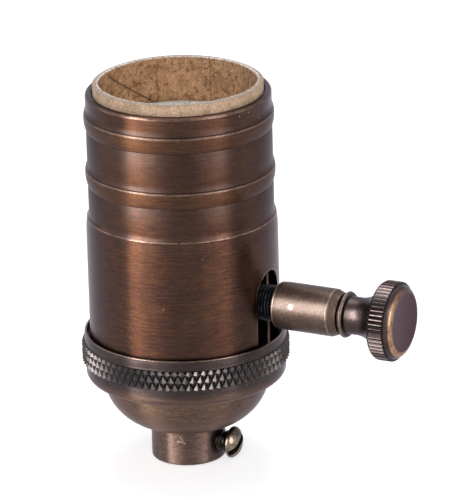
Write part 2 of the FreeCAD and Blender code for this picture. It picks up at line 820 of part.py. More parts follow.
def make_lamp_contact():
    """Folded strip from the rotor's side up to the tongue's rivet."""
    brush_low = s.knob_height - s.brush_reach
    tab_low = s.housing_top - s.strip_thickness
    sheet_body = padded_strip("lamp_contact_sheet", [
        (s.brush_face, brush_low),
        (s.brush_back, brush_low),
        (s.brush_back, tab_low),
        (s.tongue_root, tab_low),
        (s.tongue_root, s.housing_top),
        (s.brush_face, s.housing_top),
    ])
    return cut_from("lamp_contact", sheet_body,
                    [tongue_rivet_hole("tab_hole", tab_low, s.housing_top)])


def make_line_contact():
    """Folded strip from the rotor's other side out to the line terminal."""
    brush_high = s.knob_height + s.brush_reach
    plate = s.flat_reach + s.strip_thickness
    leg_top = s.leg_height + s.strip_thickness
    sheet_body = padded_strip("line_contact_sheet", [
        (-s.brush_face, s.leg_height),
        (-s.brush_face, brush_high),
        (-s.brush_back, brush_high),
        (-s.brush_back, leg_top),
        (-plate, leg_top),
        (-plate, s.terminal_low),
        (-s.flat_reach, s.terminal_low),
        (-s.flat_reach, s.leg_height),
    ])
    hole = rod("line_contact_hole", s.terminal_screw_radius + s.seat_fit,
               (ZERO, -plate - PAST, s.terminal_height), s.strip_thickness + PAST * 2, "+Y")
    return cut_from("line_contact", sheet_body, [hole])


def make_neutral_strap():
    """Folded strip from the neutral terminal up to the screw shell's floor."""
    plate = s.flat_reach + s.strip_thickness
    sheet_body = padded_strip("neutral_strap_sheet", [
        (s.flat_reach, s.terminal_low),
        (plate, s.terminal_low),
        (plate, s.insulator_top),
        (s.strap_end, s.insulator_top),
        (s.strap_end, s.insulator_top - s.strip_thickness),
        (s.flat_reach, s.insulator_top - s.strip_thickness),
    ])
    hole = rod("neutral_strap_hole", s.terminal_screw_radius + s.seat_fit,
               (ZERO, plate + PAST, s.terminal_height), s.strip_thickness + PAST * 2, "-Y")
    return cut_from("neutral_strap", sheet_body, [hole])


def make_terminal_screw(label, side):
    """Binding screw with a slotted head; side is 1 for +Y and -1 for -Y."""
    seat = s.flat_reach + s.strip_thickness
    outward = "+Y" if side > 0 else "-Y"
    inward = "-Y" if side > 0 else "+Y"
    centre = s.terminal_height
    reach = s.terminal_screw_depth + s.strip_thickness
    head_top = seat + s.terminal_head_height
    head = rod(label + "_head", s.terminal_head_radius, (ZERO, seat * side, centre),
               s.terminal_head_height, outward)
    shank = rod(label + "_shank", s.terminal_screw_radius, (ZERO, seat * side, centre), reach,
                inward)
    half_slot = s.screw_slot_width * HALF
    slot_floor = (head_top - s.screw_slot_depth) * side
    slot_out = (head_top + PAST) * side
    low, high = (slot_floor, slot_out) if side > 0 else (slot_out, slot_floor)
    slot = box(label + "_slot", (-s.terminal_head_radius - PAST, low, centre - half_slot),
               (s.terminal_head_radius + PAST, high, centre + half_slot))
    return cut_from(label, join(label + "_blank", [head, shank]), [slot])


def make_sleeve():
    """Turned sleeve with a chamfer at its back and a tapered nose."""
    thread = s.bush_radius + s.seat_fit * 2
    thread_end = s.bush_end + s.sleeve_thread_play
    return turned_about_x("sleeve", [
        (s.sleeve_start, thread),
        (s.sleeve_start, s.sleeve_radius - s.sleeve_back_chamfer),
        (s.sleeve_start + s.sleeve_back_chamfer, s.sleeve_radius),
        (s.sleeve_end - s.sleeve_nose, s.sleeve_radius),
        (s.sleeve_end, s.sleeve_nose_radius),
        (s.sleeve_end, s.sleeve_bore_radius),
        (thread_end, s.sleeve_bore_radius),
        (thread_end, thread),
    ], s.knob_height)


def make_knob():
    """Turned knob: bead, waist sweeping out to the head, serrated edge and bevelled face."""
    hole = s.spindle_radius + s.seat_fit
    hole_end = s.spindle_end + s.knob_hole_play
    bead_end = s.knob_start + s.knob_bead_width
    waist_end = bead_end + s.waist_length
    head_back = waist_end + s.waist_sweep
    head_front = head_back + s.head_width
    face = head_front + s.face_bevel
    bead_arc = bowed_arc(s.knob_bead_width * HALF, s.knob_bead_rise, s.knob_bead_bow)
    waist_arc = tangent_arc(s.head_back_radius - s.waist_radius, s.waist_sweep)
    face_arc = bowed_arc(s.face_bevel_width, s.face_bevel, s.face_bow)
    body = turned_about_x("knob", [
        (s.knob_start, hole),
        (s.knob_start, s.knob_bead_root),
        (s.knob_start + s.knob_bead_width * HALF, s.knob_bead_radius, bead_arc, 1),
        (bead_end, s.knob_bead_root, bead_arc, 1),
        (bead_end, s.waist_radius),
        (waist_end, s.waist_radius),
        (head_back, s.head_back_radius, waist_arc, -1),
        (head_back + s.head_edge, s.head_radius),
        (head_front, s.head_radius),
        (head_front, s.head_front_radius),
        (face, s.face_radius, face_arc, 1),
        (face, ZERO),
        (hole_end, ZERO),
        (hole_end, hole),
    ], s.knob_height)
    doc.recompute()
    before = body.Shape.Volume
    groove = body.newObject("PartDesign::Pocket", "tooth_gap_cut")
    half = s.tooth_gap * HALF
    groove.Profile = draw(body, "tooth_gap_outline", "YZ_Plane", [
        (-half, s.head_radius + s.tooth_depth * HALF),
        (ZERO, s.head_radius - s.tooth_depth),
        (half, s.head_radius + s.tooth_depth * HALF),
    ])
    bind(groove.Profile[0], "AttachmentOffset.Base.z", head_back - s.head_edge)
    groove.Reversed = True
    bind(groove, "Length", s.head_width + s.head_edge)
    pattern = body.newObject("PartDesign::PolarPattern", "teeth_ring")
    pattern.Originals = [groove]
    pattern.Axis = (groove.Profile[0], ["N_Axis"])
    pattern.Angle = 360
    bind(pattern, "Occurrences", s.teeth)
    body.Tip = pattern
    doc.recompute()
    if body.Shape.Volume >= before:
        raise RuntimeError("the knob's teeth cut nothing")
    return body


def make_spindle():
    """Round spindle with a flat for the rotor and a groove for its clip."""
    groove_radius = s.spindle_radius - s.clip_groove_depth
    clip_end = s.clip_start + s.clip_thickness
    play = s.strip_play
    turned = turned_about_x("spindle_turning", [
        (-s.spindle_back, ZERO),
        (-s.spindle_back, s.spindle_radius),
        (s.clip_start - play, s.spindle_radius),
        (s.clip_start - play, groove_radius),
        (clip_end + play, groove_radius),
        (clip_end + play, s.spindle_radius),
        (s.spindle_end, s.spindle_radius),
        (s.spindle_end, ZERO),
    ], s.knob_height)
    flat = box("spindle_flat",
               (-s.drum_half_length, -s.spindle_radius - PAST, s.knob_height + s.key_flat),
               (s.drum_half_length, s.spindle_radius + PAST,
                s.knob_height + s.spindle_radius + PAST))
    return cut_from("spindle", turned, [flat])


def drum_rod(name, radius, half_length):
    """A cylinder on the knob's axis, centred on the socket's axis."""
    return rod(name, radius, (-half_length, ZERO, s.knob_height), half_length * 2, "+X")


def band_ring(label, inner, outer, half_length):
    """Part of a ring round the knob's axis, centred on the side that faces the cap."""
    body = new_body(label)
    turned = body.newObject("PartDesign::Revolution", label + "_turning")
    turned.Profile = draw(body, label + "_outline", "XZ_Plane", [
        (-half_length, -inner),
        (half_length, -inner),
        (half_length, -outer),
        (-half_length, -outer),
    ])
    turned.ReferenceAxis = (turned.Profile[0], ["H_Axis"])
    turned.Midplane = True
    bind(turned, "Angle", s.band_angle)
    bind(body, "Placement.Base.z", s.knob_height)
    return body


def make_rotor():
    """Moulded drum with a keyed bore and a seat for its brass band."""
    drum = drum_rod("drum", s.drum_radius, s.drum_half_length)
    end = s.drum_half_length + PAST
    bore = drum_rod("drum_bore", s.spindle_radius + s.seat_fit, end)
    key = box("drum_key",
              (-end, -s.drum_radius, s.knob_height - s.drum_radius),
              (end, s.drum_radius, s.knob_height + s.key_flat + s.seat_fit))
    keyed_bore = common("keyed_bore", bore, key)
    seat = band_ring("band_seat", s.drum_radius - s.band_thickness - s.seat_fit,
                     s.drum_radius + PAST, s.band_width * HALF + s.seat_fit)
    return cut_from("rotor", drum, [keyed_bore, seat])


def make_rotor_band():
    """Brass half band that joins the two contacts at every other quarter turn."""
    return band_ring("rotor_band", s.drum_radius - s.band_thickness, s.drum_radius,
                     s.band_width * HALF)


def make_clip():
    """Sprung clip in the spindle's groove, with an open mouth."""
    start = (s.clip_start, ZERO, s.knob_height)
    ring = rod("clip_ring", s.clip_radius, start, s.clip_thickness, "+X")
    hole = rod("clip_hole", s.spindle_radius - s.clip_groove_depth + s.seat_fit,
               (s.clip_start - PAST, ZERO, s.knob_height), s.clip_thickness + PAST * 2, "+X")
    half = s.clip_mouth * HALF
    mouth = box("clip_mouth_cut", (s.clip_start - PAST, -half, s.knob_height),
                (s.clip_start + s.clip_thickness + PAST, half,
                 s.knob_height + s.clip_radius + PAST))
    return cut_from("spindle_clip", ring, [hole, mouth])


def make_set_screw():
    """Round-headed slotted screw, standing out of the neck."""
    tip = s.pipe_bore_radius + s.set_screw_tip_gap
    head_start = s.neck_radius + s.set_screw_stand_off
    head_end = head_start + s.set_screw_head_height
    rounding = s.set_screw_head_rounding
    turned = turned_about_x("set_screw", [
        (tip, ZERO),
        (tip, s.set_screw_radius),
        (head_start, s.set_screw_radius),
        (head_start, s.set_screw_head_radius),
        (head_end - rounding, s.set_screw_head_radius),
        (head_end, s.set_screw_head_radius - rounding, rounding, 1),
        (head_end, ZERO),
    ], s.set_screw_height)
    slot = turned.newObject("PartDesign::Pocket", "set_screw_slot")
    half = s.set_screw_slot_width * HALF
    reach = s.set_screw_head_radius + PAST
    slot.Profile = draw(turned, "set_screw_slot_outline", "YZ_Plane", [
        (reach, half),
        (-reach, half),
        (-reach, -half),
        (reach, -half),
    ])
    bind(slot.Profile[0], "AttachmentOffset.Base.z", head_end - s.set_screw_slot_depth)
    slot.Reversed = True
    bind(slot, "Length", s.set_screw_slot_depth + PAST)
    turned.Placement.Rotation = FreeCAD.Rotation(FreeCAD.Vector(1, 0, 0), s.set_screw_turn.number)
    return turned


parts = [
    make_shell(),
    make_cap(),
    make_cap_disc(),
    make_card_tube(),
    make_housing(),
    make_insulator(),
    make_screw_shell(),
    make_rivets(),
    make_tongue(),
    make_tongue_rivet(),
    make_lamp_contact(),
    make_line_contact(),
    make_neutral_strap(),
    make_terminal_screw("line_screw", -1),
    make_terminal_screw("neutral_screw", 1),
    make_sleeve(),
    make_knob(),
    make_spindle(),
    make_rotor(),
    make_rotor_band(),
    make_clip(),
    make_set_screw(),
]
doc.recompute()

for item in doc.Objects:
    if {"Invalid", "Error"} & set(item.State):
        raise RuntimeError("%s failed: %s" % (item.Label, item.State))
for part in parts:
    if part.Shape.isNull() or not part.Shape.isValid() or not part.Shape.Solids:
        raise RuntimeError("%s has no sound solid" % part.Label)

os.makedirs("parts", exist_ok=True)
for part in parts:
    part.Shape.exportStep(os.path.join("parts", part.Label + ".step"))
    print(part.Label, len(part.Shape.Solids), round(part.Shape.Volume, 2))
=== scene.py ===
import math

import bmesh
import bpy
from mathutils import Matrix, Vector


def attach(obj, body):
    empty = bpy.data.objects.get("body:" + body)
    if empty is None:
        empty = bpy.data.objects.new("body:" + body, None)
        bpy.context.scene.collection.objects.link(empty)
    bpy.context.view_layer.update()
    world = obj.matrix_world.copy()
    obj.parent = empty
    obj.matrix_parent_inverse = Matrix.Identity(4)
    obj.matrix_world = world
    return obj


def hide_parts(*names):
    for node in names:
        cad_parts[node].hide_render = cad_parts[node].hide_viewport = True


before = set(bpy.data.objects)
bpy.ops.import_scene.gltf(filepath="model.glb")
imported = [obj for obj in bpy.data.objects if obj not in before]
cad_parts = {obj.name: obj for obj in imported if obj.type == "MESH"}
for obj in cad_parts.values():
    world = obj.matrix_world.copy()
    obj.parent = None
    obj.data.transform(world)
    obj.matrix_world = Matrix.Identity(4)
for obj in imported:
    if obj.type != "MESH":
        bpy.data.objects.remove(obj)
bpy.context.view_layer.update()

# Shell: spun brass, antiqued to a dark brown and lacquered. Plain below, with two beads and a
# folded rim above; a slot in it, open at the bottom, lets the switch's neck through.
MM = 0.001
SHELL_RADIUS = 18.25
SHELL_WALL = 0.55
SHELL_FOOT = 17.5
SHELL_TOP = 73.75
BAND_RADIUS = 17.65
EDGE_RADIUS = 18.04
EDGE_HEIGHTS = (49.3, 59.15, 70.05)
BEAD_HEIGHT = 3.35
FLARE_HEIGHT = 1.25
KNOB_HEIGHT = 33.35
SLOT_WIDTH = 8.8
SLOT_TOP = 39.9


def arc_points(start, end, radius, side):
    """Points after start on the arc to end that bulges left of the way there (1) or right (-1)."""
    start, end = Vector(start), Vector(end)
    half = (end - start) / 2
    reach = math.sqrt(max(radius * radius - half.length_squared, 0))
    centre = start + half + Vector((half.y, -half.x)).normalized() * reach * side
    first = math.atan2(start.y - centre.y, start.x - centre.x)
    sweep = 2 * math.asin(min(half.length / radius, 1)) * -side
    parts = max(3, math.ceil(math.degrees(abs(sweep)) / 6))
    return [
        (centre.x + radius * math.cos(first + sweep * part / parts),
         centre.y + radius * math.sin(first + sweep * part / parts))
        for part in range(1, parts + 1)
    ]


def outline_points(corners):
    """All points of an outline whose corners are (radius, height) or (radius, height, arc, side)."""
    points = []
    for index, corner in enumerate(corners):
        if len(corner) == 2:
            points.append(corner)
        else:
            points += arc_points(corners[index - 1][:2], corner[:2], corner[2], corner[3])
    return points


def as_object(name, mesh, sharp_angle=28):
    """Keep a finished bmesh as a smooth-shaded object with creases at its sharp edges."""
    data = bpy.data.meshes.new(name)
    mesh.to_mesh(data)
    mesh.free()
    data.shade_smooth()
    data.set_sharp_from_angle(angle=math.radians(sharp_angle))
    piece = bpy.data.objects.new(name, data)
    bpy.context.scene.collection.objects.link(piece)
    return piece


def turned(corners, steps=288, open_ends=False):
    """Turn an outline of radius and height, in millimetres, about the socket's axis."""
    mesh = bmesh.new()
    ring = [mesh.verts.new((radius * MM, 0, height * MM)) for radius, height in outline_points(corners)]
    edges = [mesh.edges.new(pair) for pair in zip(ring, ring[1:])]
    if not open_ends:
        edges.append(mesh.edges.new((ring[-1], ring[0])))
    bmesh.ops.spin(mesh, geom=ring + edges, cent=(0, 0, 0), axis=(0, 0, 1), angle=2 * math.pi,
                   steps=steps, use_merge=True)
    bmesh.ops.remove_doubles(mesh, verts=mesh.verts, dist=0.001 * MM)
    bmesh.ops.recalc_face_normals(mesh, faces=mesh.faces)
    return mesh


def cut_with(piece, cutter):
    """Cut one object out of another and drop the cutter."""
    tool = piece.modifiers.new("cut", "BOOLEAN")
    tool.operation = "DIFFERENCE"
    tool.solver = "EXACT"
    tool.object = cutter
    bpy.context.view_layer.update()
    graph = bpy.context.evaluated_depsgraph_get()
    cut = bpy.data.meshes.new_from_object(piece.evaluated_get(graph))
    piece.modifiers.clear()
    piece.data = cut
    cut.shade_smooth()
    cut.set_sharp_from_angle(angle=math.radians(28))
    bpy.data.objects.remove(cutter)


class Wire:
    """A value on its way through a material; sums on it add maths nodes."""

    def __init__(self, finish, socket):
        self.finish = finish
        self.socket = socket

    def maths(self, operation, *others):
        return self.finish.node("ShaderNodeMath", {"operation": operation}, [self, *others])

    def __add__(self, other):
        return self.maths("ADD", other)

    def __sub__(self, other):
        return self.maths("SUBTRACT", other)

    def __rsub__(self, other):
        return self.finish.node("ShaderNodeMath", {"operation": "SUBTRACT"}, [other, self])

    def __mul__(self, other):
        return self.maths("MULTIPLY", other)

    def __truediv__(self, other):
        return self.maths("DIVIDE", other)

    def __pow__(self, other):
        return self.maths("POWER", other)

    __radd__ = __add__
    __rmul__ = __mul__

    def rise(self, low, high):
        """Go smoothly from 0 at low to 1 at high."""
        return self.finish.node("ShaderNodeMapRange", {"interpolation_type": "SMOOTHSTEP"},
                                {"Value": self, "From Min": low, "From Max": high})

    def part(self, name):
        """Another output of the node that this value comes from."""
        return Wire(self.finish, self.socket.node.outputs[name])


class Finish:
    """A material under construction around one Principled shader."""

    def __init__(self, name, **constants):
        self.material = bpy.data.materials.new(name)
        self.material.use_nodes = True
        self.tree = self.material.node_tree
        self.shader = self.tree.nodes["Principled BSDF"]
        for socket, value in constants.items():
            self.shader.inputs[socket.replace("_", " ")].default_value = value

    def node(self, kind, settings, inputs):
        """Add a node, set it up, feed its sockets and give its first output."""
        node = self.tree.nodes.new(kind)
        for setting, value in settings.items():
            setattr(node, setting, value)
        pairs = inputs.items() if isinstance(inputs, dict) else enumerate(inputs)
        for socket, value in pairs:
            if isinstance(value, Wire):
                self.tree.links.new(value.socket, node.inputs[socket])
            else:
                node.inputs[socket].default_value = value
        return Wire(self, node.outputs[0])

    def mix(self, share, first, second, blend="MIX"):
        """Mix two colours."""
        mixed = self.node("ShaderNodeMix", {"data_type": "RGBA", "blend_type": blend},
                          {0: share, 6: first, 7: second})
        return Wire(self, mixed.socket.node.outputs[2])

    def noise(self, place, scale, detail=2.0, roughness=0.5):
        """Soft noise at so many cells to the metre."""
        return self.node("ShaderNodeTexNoise", {},
                         {"Vector": place, "Scale": scale, "Detail": detail, "Roughness": roughness})

    def place(self):
        """Where a point is on the piece, in metres, as one vector and as x, y and z."""
        where = Wire(self, self.tree.nodes.new("ShaderNodeTexCoord").outputs["Object"])
        split = self.node("ShaderNodeSeparateXYZ", {}, [where])
        return where, split, split.part("Y"), split.part("Z")

    def vector(self, x, y, z):
        return self.node("ShaderNodeCombineXYZ", {}, [x, y, z])

    def near(self, where, spot, size):
        """1 at a spot given in millimetres, fading to 0 at size away from it."""
        away = self.node("ShaderNodeVectorMath", {"operation": "DISTANCE"},
                         [where, [value * MM for value in spot]])
        return away.part("Value").rise(size * MM, size * MM * 0.3)

    def bump(self, height, depth, strength=1.0):
        """A normal from a height pattern of so many millimetres."""
        return self.node("ShaderNodeBump", {},
                         {"Height": height, "Distance": depth * MM, "Strength": strength})

    def show(self, **wires):
        """Feed the shader's varying sockets."""
        for socket, wire in wires.items():
            self.tree.links.new(wire.socket, self.shader.inputs[socket.replace("_", " ")])
        return self.material


BRONZE_DARK = (0.031, 0.0112, 0.0075, 1)
BRONZE_COPPER = (0.050, 0.0205, 0.0112, 1)
# Pale bare brass, for rubbed spots and for painted highlights on edges.
BRONZE_BARE_AND_HIGHLIGHT = (0.36, 0.235, 0.18, 1)
BRONZE_ORANGE = (0.080, 0.034, 0.0140, 1)
# Near-black for dirt and for painted shade in creases, gaps, grooves and under parts.
GRIME_AND_SHADE = (0.006, 0.004, 0.004, 1)
# Bare specks in the lacquer: place and size in millimetres.
SPECKS = (
    ((11.41, -14.24, 46.0), 0.22),
    ((4.63, -17.65, 36.22), 0.2),
    ((17.04, -4.62, 72.69), 0.25),
    ((16.26, -6.86, 72.51), 0.18),
    ((17.56, -1.73, 67.33), 0.25),
    ((17.58, -1.57, 70.83), 0.2),
    ((18.05, 2.73, 40.16), 0.3),
    ((17.87, 3.69, 26.81), 0.2),
)


def turned_place(finish, along, height=0.0):
    """The piece's place for brush marks: direction round its axis, radius and way along it."""
    where, x, y, z = finish.place()
    if along == "Z":
        first, second, way = x, y, z
    else:
        first, second, way = y, z - height * MM, x
    radius = (first * first + second * second) ** 0.5 + 1e-6
    return where, first / radius, second / radius, radius, way


def brush_marks(finish, first, second, radius, way, length, spacing):
    """Fine streaks that run round the piece, longer where length is small."""
    lines = (way + radius) * (1 / (spacing * MM))
    return finish.noise(finish.vector(first * length, second * length, lines), 1.0, 3.0, 0.6)


def bronze(name, along="Z", height=0.0, dark=BRONZE_DARK, copper=BRONZE_COPPER, layers=(),
           shade_and_grime=None, roughness=0.35, stretch=0.95, coat=0.27):
    """Antiqued brass, brushed round its axis and lacquered.

    A layer is a mask, the colour that shows there and how far brush marks break it up.
    """
    finish = Finish(name, Metallic=1.0, Anisotropic=stretch,
                    Anisotropic_Rotation=0.25, Specular_Tint=(0.66, 0.63, 0.72, 1),
                    Coat_Weight=coat, Coat_Roughness=0.3)
    where, first, second, radius, way = turned_place(finish, along, height)
    fine = brush_marks(finish, first, second, radius, way, 11.0, 0.11)
    long = brush_marks(finish, first, second, radius, way, 3.0, 0.34)
    brush = fine * 0.55 + long * 0.45
    cloud = finish.noise(where, 95.0, 4.0, 0.6)
    fleck = finish.noise(where, 2300.0, 2.0, 0.7)
    colour = finish.mix(cloud.rise(0.35, 0.7), dark, copper)
    for mask, tone, broken in layers:
        share = mask(finish, where, radius, way)
        if broken:
            share = share * ((brush * 0.5 + fleck * 0.6).rise(0.38, 0.68) * broken + (1.0 - broken))
        colour = finish.mix(share, colour, tone)
    shade = (brush - 0.5) * 2.8 + 1.0 + (fleck - 0.5) * 1.1
    colour = finish.mix(1.0, colour, finish.vector(shade, shade, shade), "MULTIPLY")
    cells = finish.node("ShaderNodeTexVoronoi", {}, {"Vector": where, "Scale": 230.0})
    kept = finish.node("ShaderNodeSeparateColor", {}, [cells.part("Color")]).rise(0.90, 0.92)
    speck = cells.rise(0.045, 0.025) * kept
    colour = finish.mix(speck * 0.8, colour, BRONZE_BARE_AND_HIGHLIGHT)
    height_map = brush
    # Mix in dirt and painted shade from the mask; the same mask sinks the bump.
    if shade_and_grime is not None:
        dirt_and_shade = shade_and_grime(finish, where, radius, way)
        colour = finish.mix(dirt_and_shade, colour, GRIME_AND_SHADE)
        height_map = brush - dirt_and_shade * 2.0
    finish.show(
        Base_Color=colour,
        Roughness=(brush - 0.5) * 0.25 + roughness + (cloud - 0.5) * 0.1
        + way.rise(49.5 * MM, 51 * MM) * way.rise(71.5 * MM, 70.5 * MM) * 0.14,
        Normal=finish.bump(height_map, 0.010, 0.5),
    )
    return finish.material


def line_at(way, height, reach):
    """1 on a line round the piece at a height in millimetres, 0 beyond its reach."""
    return (way - height * MM).maths("ABSOLUTE").rise(reach * MM, reach * 0.35 * MM)


def shell_edges(finish, where, radius, way):
    """The shell's three edges and its rim, rubbed bare and lightened as painted highlights, and bare specks."""
    rubbed_and_highlit = line_at(way, EDGE_HEIGHTS[0] + 0.02, 0.14) * 0.6 + line_at(way, SHELL_TOP - 0.3, 0.3) * 0.25
    for edge in EDGE_HEIGHTS[1:]:
        rubbed_and_highlit = line_at(way, edge - 0.35, 0.25) * 0.45 + rubbed_and_highlit
    for spot, size in SPECKS:
        rubbed_and_highlit = finish.near(where, spot, size) + rubbed_and_highlit
    return rubbed_and_highlit.maths("MINIMUM", 1.0) * 0.8


def shell_slot(finish, where, radius, way):
    """The slot's rubbed edge."""
    x, y = finish.place()[1:3]
    above = (way - (SLOT_TOP - SLOT_WIDTH / 2) * MM).maths("MAXIMUM", 0.0)
    out = (y * y + above * above) ** 0.5
    edge = out.rise((SLOT_WIDTH / 2 + 0.3) * MM, (SLOT_WIDTH / 2 + 0.1) * MM)
    return edge * x.rise(10 * MM, 12 * MM) * way.rise(41 * MM, 40.5 * MM) * way.rise(26 * MM, 34 * MM) * 0.6


def shell_beads(finish, where, radius, way):
    """Brassier colour on the beads."""
    first, second = [line_at(way, edge - BEAD_HEIGHT / 2, BEAD_HEIGHT * 0.6) for edge in EDGE_HEIGHTS[1:]]
    return (first + second) * 0.5


def shell_streaks(finish, where, radius, way):
    """Orange streaks that run round the shell."""
    x, y = finish.place()[1:3]
    return finish.noise(finish.vector(x * 420.0, y * 420.0, way * 7000.0), 1.0, 2.0, 0.6).rise(0.40, 0.75) * 0.7


def shell_dent_and_shade(finish, where, radius, way):
    """Dark lines in the creases above and below each bead, patina with painted shade; painted shade below the cap's lip
    and in the rim's gap; and one dent in the lacquer.
    """
    # The dent is a real mark; below 26.35 mm the shell is darkened as painted shade in the gap inside the cap's lip.
    dirt_and_shade = finish.near(where, (7.74, -16.3, 49.4), 0.32) + way.rise(26.35 * MM, 26.1 * MM)
    # Painted shade on the rim's inner side, in the gap beside the card.
    rim = radius.rise((BAND_RADIUS - 0.55) * MM, (BAND_RADIUS - 0.9) * MM) * way.rise(71.0 * MM, 71.8 * MM)
    dirt_and_shade = rim * 0.85 + dirt_and_shade
    # Crease lines: patina with painted shade.
    for edge in EDGE_HEIGHTS[1:]:
        dirt_and_shade = line_at(way, edge, 0.15) * 0.7 + line_at(way, edge - BEAD_HEIGHT, 0.12) * 0.45 + dirt_and_shade
    return dirt_and_shade.maths("MINIMUM", 1.0) * 0.9


inside = SHELL_RADIUS - SHELL_WALL
band_inside = BAND_RADIUS - SHELL_WALL
outline = [
    (inside, SHELL_FOOT),
    (SHELL_RADIUS, SHELL_FOOT),
    (SHELL_RADIUS, EDGE_HEIGHTS[0] - 2.9),
    (EDGE_RADIUS, EDGE_HEIGHTS[0] - 0.06, 20.0, -1),
    (EDGE_RADIUS - 0.07, EDGE_HEIGHTS[0] + 0.06, 0.12, -1),
    (BAND_RADIUS, EDGE_HEIGHTS[0] + FLARE_HEIGHT, 2.2, 1),
]
for edge in EDGE_HEIGHTS[1:]:
    outline += [
        (BAND_RADIUS, edge - BEAD_HEIGHT - 0.12),
        (BAND_RADIUS - 0.06, edge - BEAD_HEIGHT),
        (BAND_RADIUS + 0.05, edge - BEAD_HEIGHT + 0.12),
        (EDGE_RADIUS, edge - 0.62, 6.0, -1),
        (EDGE_RADIUS - 0.14, edge - 0.1, 0.8, -1),
        (EDGE_RADIUS - 0.25, edge),
        (EDGE_RADIUS - 0.12, edge + 0.1),
        (BAND_RADIUS, edge + FLARE_HEIGHT, 2.6, 1),
    ]
outline += [
    (BAND_RADIUS, SHELL_TOP - 0.6),
    (BAND_RADIUS - 0.6, SHELL_TOP, 0.6, -1),
    (BAND_RADIUS - 1.2, SHELL_TOP),
    (BAND_RADIUS - 1.2, SHELL_TOP - 1.6),
    (band_inside, SHELL_TOP - 1.6),
    (band_inside, EDGE_HEIGHTS[0] + FLARE_HEIGHT),
    (inside, EDGE_HEIGHTS[0] - 2.9),
]
shell = as_object("spun_shell", turned(outline, 360))

slot = bmesh.new()
arch = bmesh.ops.create_circle(slot, cap_ends=True, segments=64, radius=SLOT_WIDTH / 2 * MM)
bmesh.ops.rotate(slot, verts=slot.verts, matrix=Matrix.Rotation(math.pi / 2, 3, "Y"))
bmesh.ops.translate(slot, verts=slot.verts, vec=(0, 0, (SLOT_TOP - SLOT_WIDTH / 2) * MM))
for corner in slot.verts:
    if corner.co.z < (SLOT_TOP - SLOT_WIDTH / 2 - 0.01) * MM:
        corner.co.y = math.copysign(SLOT_WIDTH / 2 * MM, corner.co.y)
        corner.co.z = (SHELL_FOOT - 2) * MM
bmesh.ops.remove_doubles(slot, verts=slot.verts, dist=0.001 * MM)
pushed = bmesh.ops.extrude_face_region(slot, geom=slot.faces[:])
bmesh.ops.translate(slot, verts=[item for item in pushed["geom"] if isinstance(item, bmesh.types.BMVert)],
                    vec=(22 * MM, 0, 0))
bmesh.ops.recalc_face_normals(slot, faces=slot.faces)
cut_with(shell, as_object("slot_cutter", slot))
shell.data.materials.append(bronze(
    "antique_bronze_shell", shade_and_grime=shell_dent_and_shade,
    layers=((shell_streaks, (0.070, 0.028, 0.0095, 1), 0.0), (shell_beads, BRONZE_ORANGE, 0.3),
            (shell_edges, BRONZE_BARE_AND_HIGHLIGHT, 0.6), (shell_slot, BRONZE_BARE_AND_HIGHLIGHT, 0.4))))
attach(shell, "socket")
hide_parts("shell")

# Cap: turned brass in the same finish. A short neck bored for the lamp pipe, a round bowl, a
# shouldered foot, a ring with a rolled diamond knurl, and a lip that the shell drops into.
NECK_RADIUS = 7.13
PIPE_BORE_RADIUS = 4.4
CAP_WALL = 1.1
CAP_BORE = 18.35
KNURL_ROOT = 19.44
KNURL_CREST = 19.95
KNURL_LOW = 20.4
KNURL_TOP = 24.1
KNURL_STEP = 1.5
KNURL_COUNT = 85
LIP_RADIUS = 19.41
LIP_TOP = 26.1

cap_outline = [
    (PIPE_BORE_RADIUS, 0.5),
    (PIPE_BORE_RADIUS + 0.5, 0),
    (NECK_RADIUS - 0.45, 0),
    (NECK_RADIUS, 0.45, 0.45, -1),
    (NECK_RADIUS, 6.78),
    (NECK_RADIUS - 0.1, 6.9),
    (NECK_RADIUS + 0.2, 6.98),
    (16.0, 15.9, 10.42, -1),
    (16.85, 16.03),
    (17.0, 16.16, 0.16, -1),
    (18.6, 16.95),
    (19.2, 18.1, 1.6, -1),
    (19.2, KNURL_LOW - 0.25),
    (KNURL_ROOT - 0.05, KNURL_LOW - 0.05),
    (KNURL_ROOT - 0.05, KNURL_TOP + 0.1),
    (LIP_RADIUS - 0.06, KNURL_TOP + 0.2),
    (LIP_RADIUS - 0.12, LIP_TOP - 0.14, 5.0, -1),
    (LIP_RADIUS - 0.26, LIP_TOP, 0.14, -1),
    (18.95, LIP_TOP),
    (18.85, LIP_TOP - 0.1, 0.1, -1),
    (18.85, 24.9),
    (CAP_BORE, 24.9),
    (CAP_BORE, SHELL_FOOT),
    (14.6, SHELL_FOOT),
    (14.6, 14.2),
    (13.7, 14.2),
    (13.7, 12.55),
    (NECK_RADIUS, 8.05, 9.32, 1),
    (PIPE_BORE_RADIUS, 8.05),
]
cap = as_object("turned_cap", turned(cap_outline, 360))

SET_SCREW_HEIGHT = 3.6
SET_SCREW_RADIUS = 2.08
hole = bmesh.new()
bmesh.ops.create_cone(hole, cap_ends=True, segments=96, radius1=(SET_SCREW_RADIUS + 0.02) * MM,
                      radius2=(SET_SCREW_RADIUS + 0.02) * MM, depth=9 * MM,
                      matrix=Matrix.Translation((4.5 * MM, 0, SET_SCREW_HEIGHT * MM))
                      @ Matrix.Rotation(math.pi / 2, 4, "Y"))
cut_with(cap, as_object("set_screw_hole", hole))


def on_cylinder(radius, share, height):
    """A point at a share of one knurl step round the ring."""
    angle = 2 * math.pi * share / KNURL_COUNT
    return (radius * MM * math.cos(angle), radius * MM * math.sin(angle), height * MM)


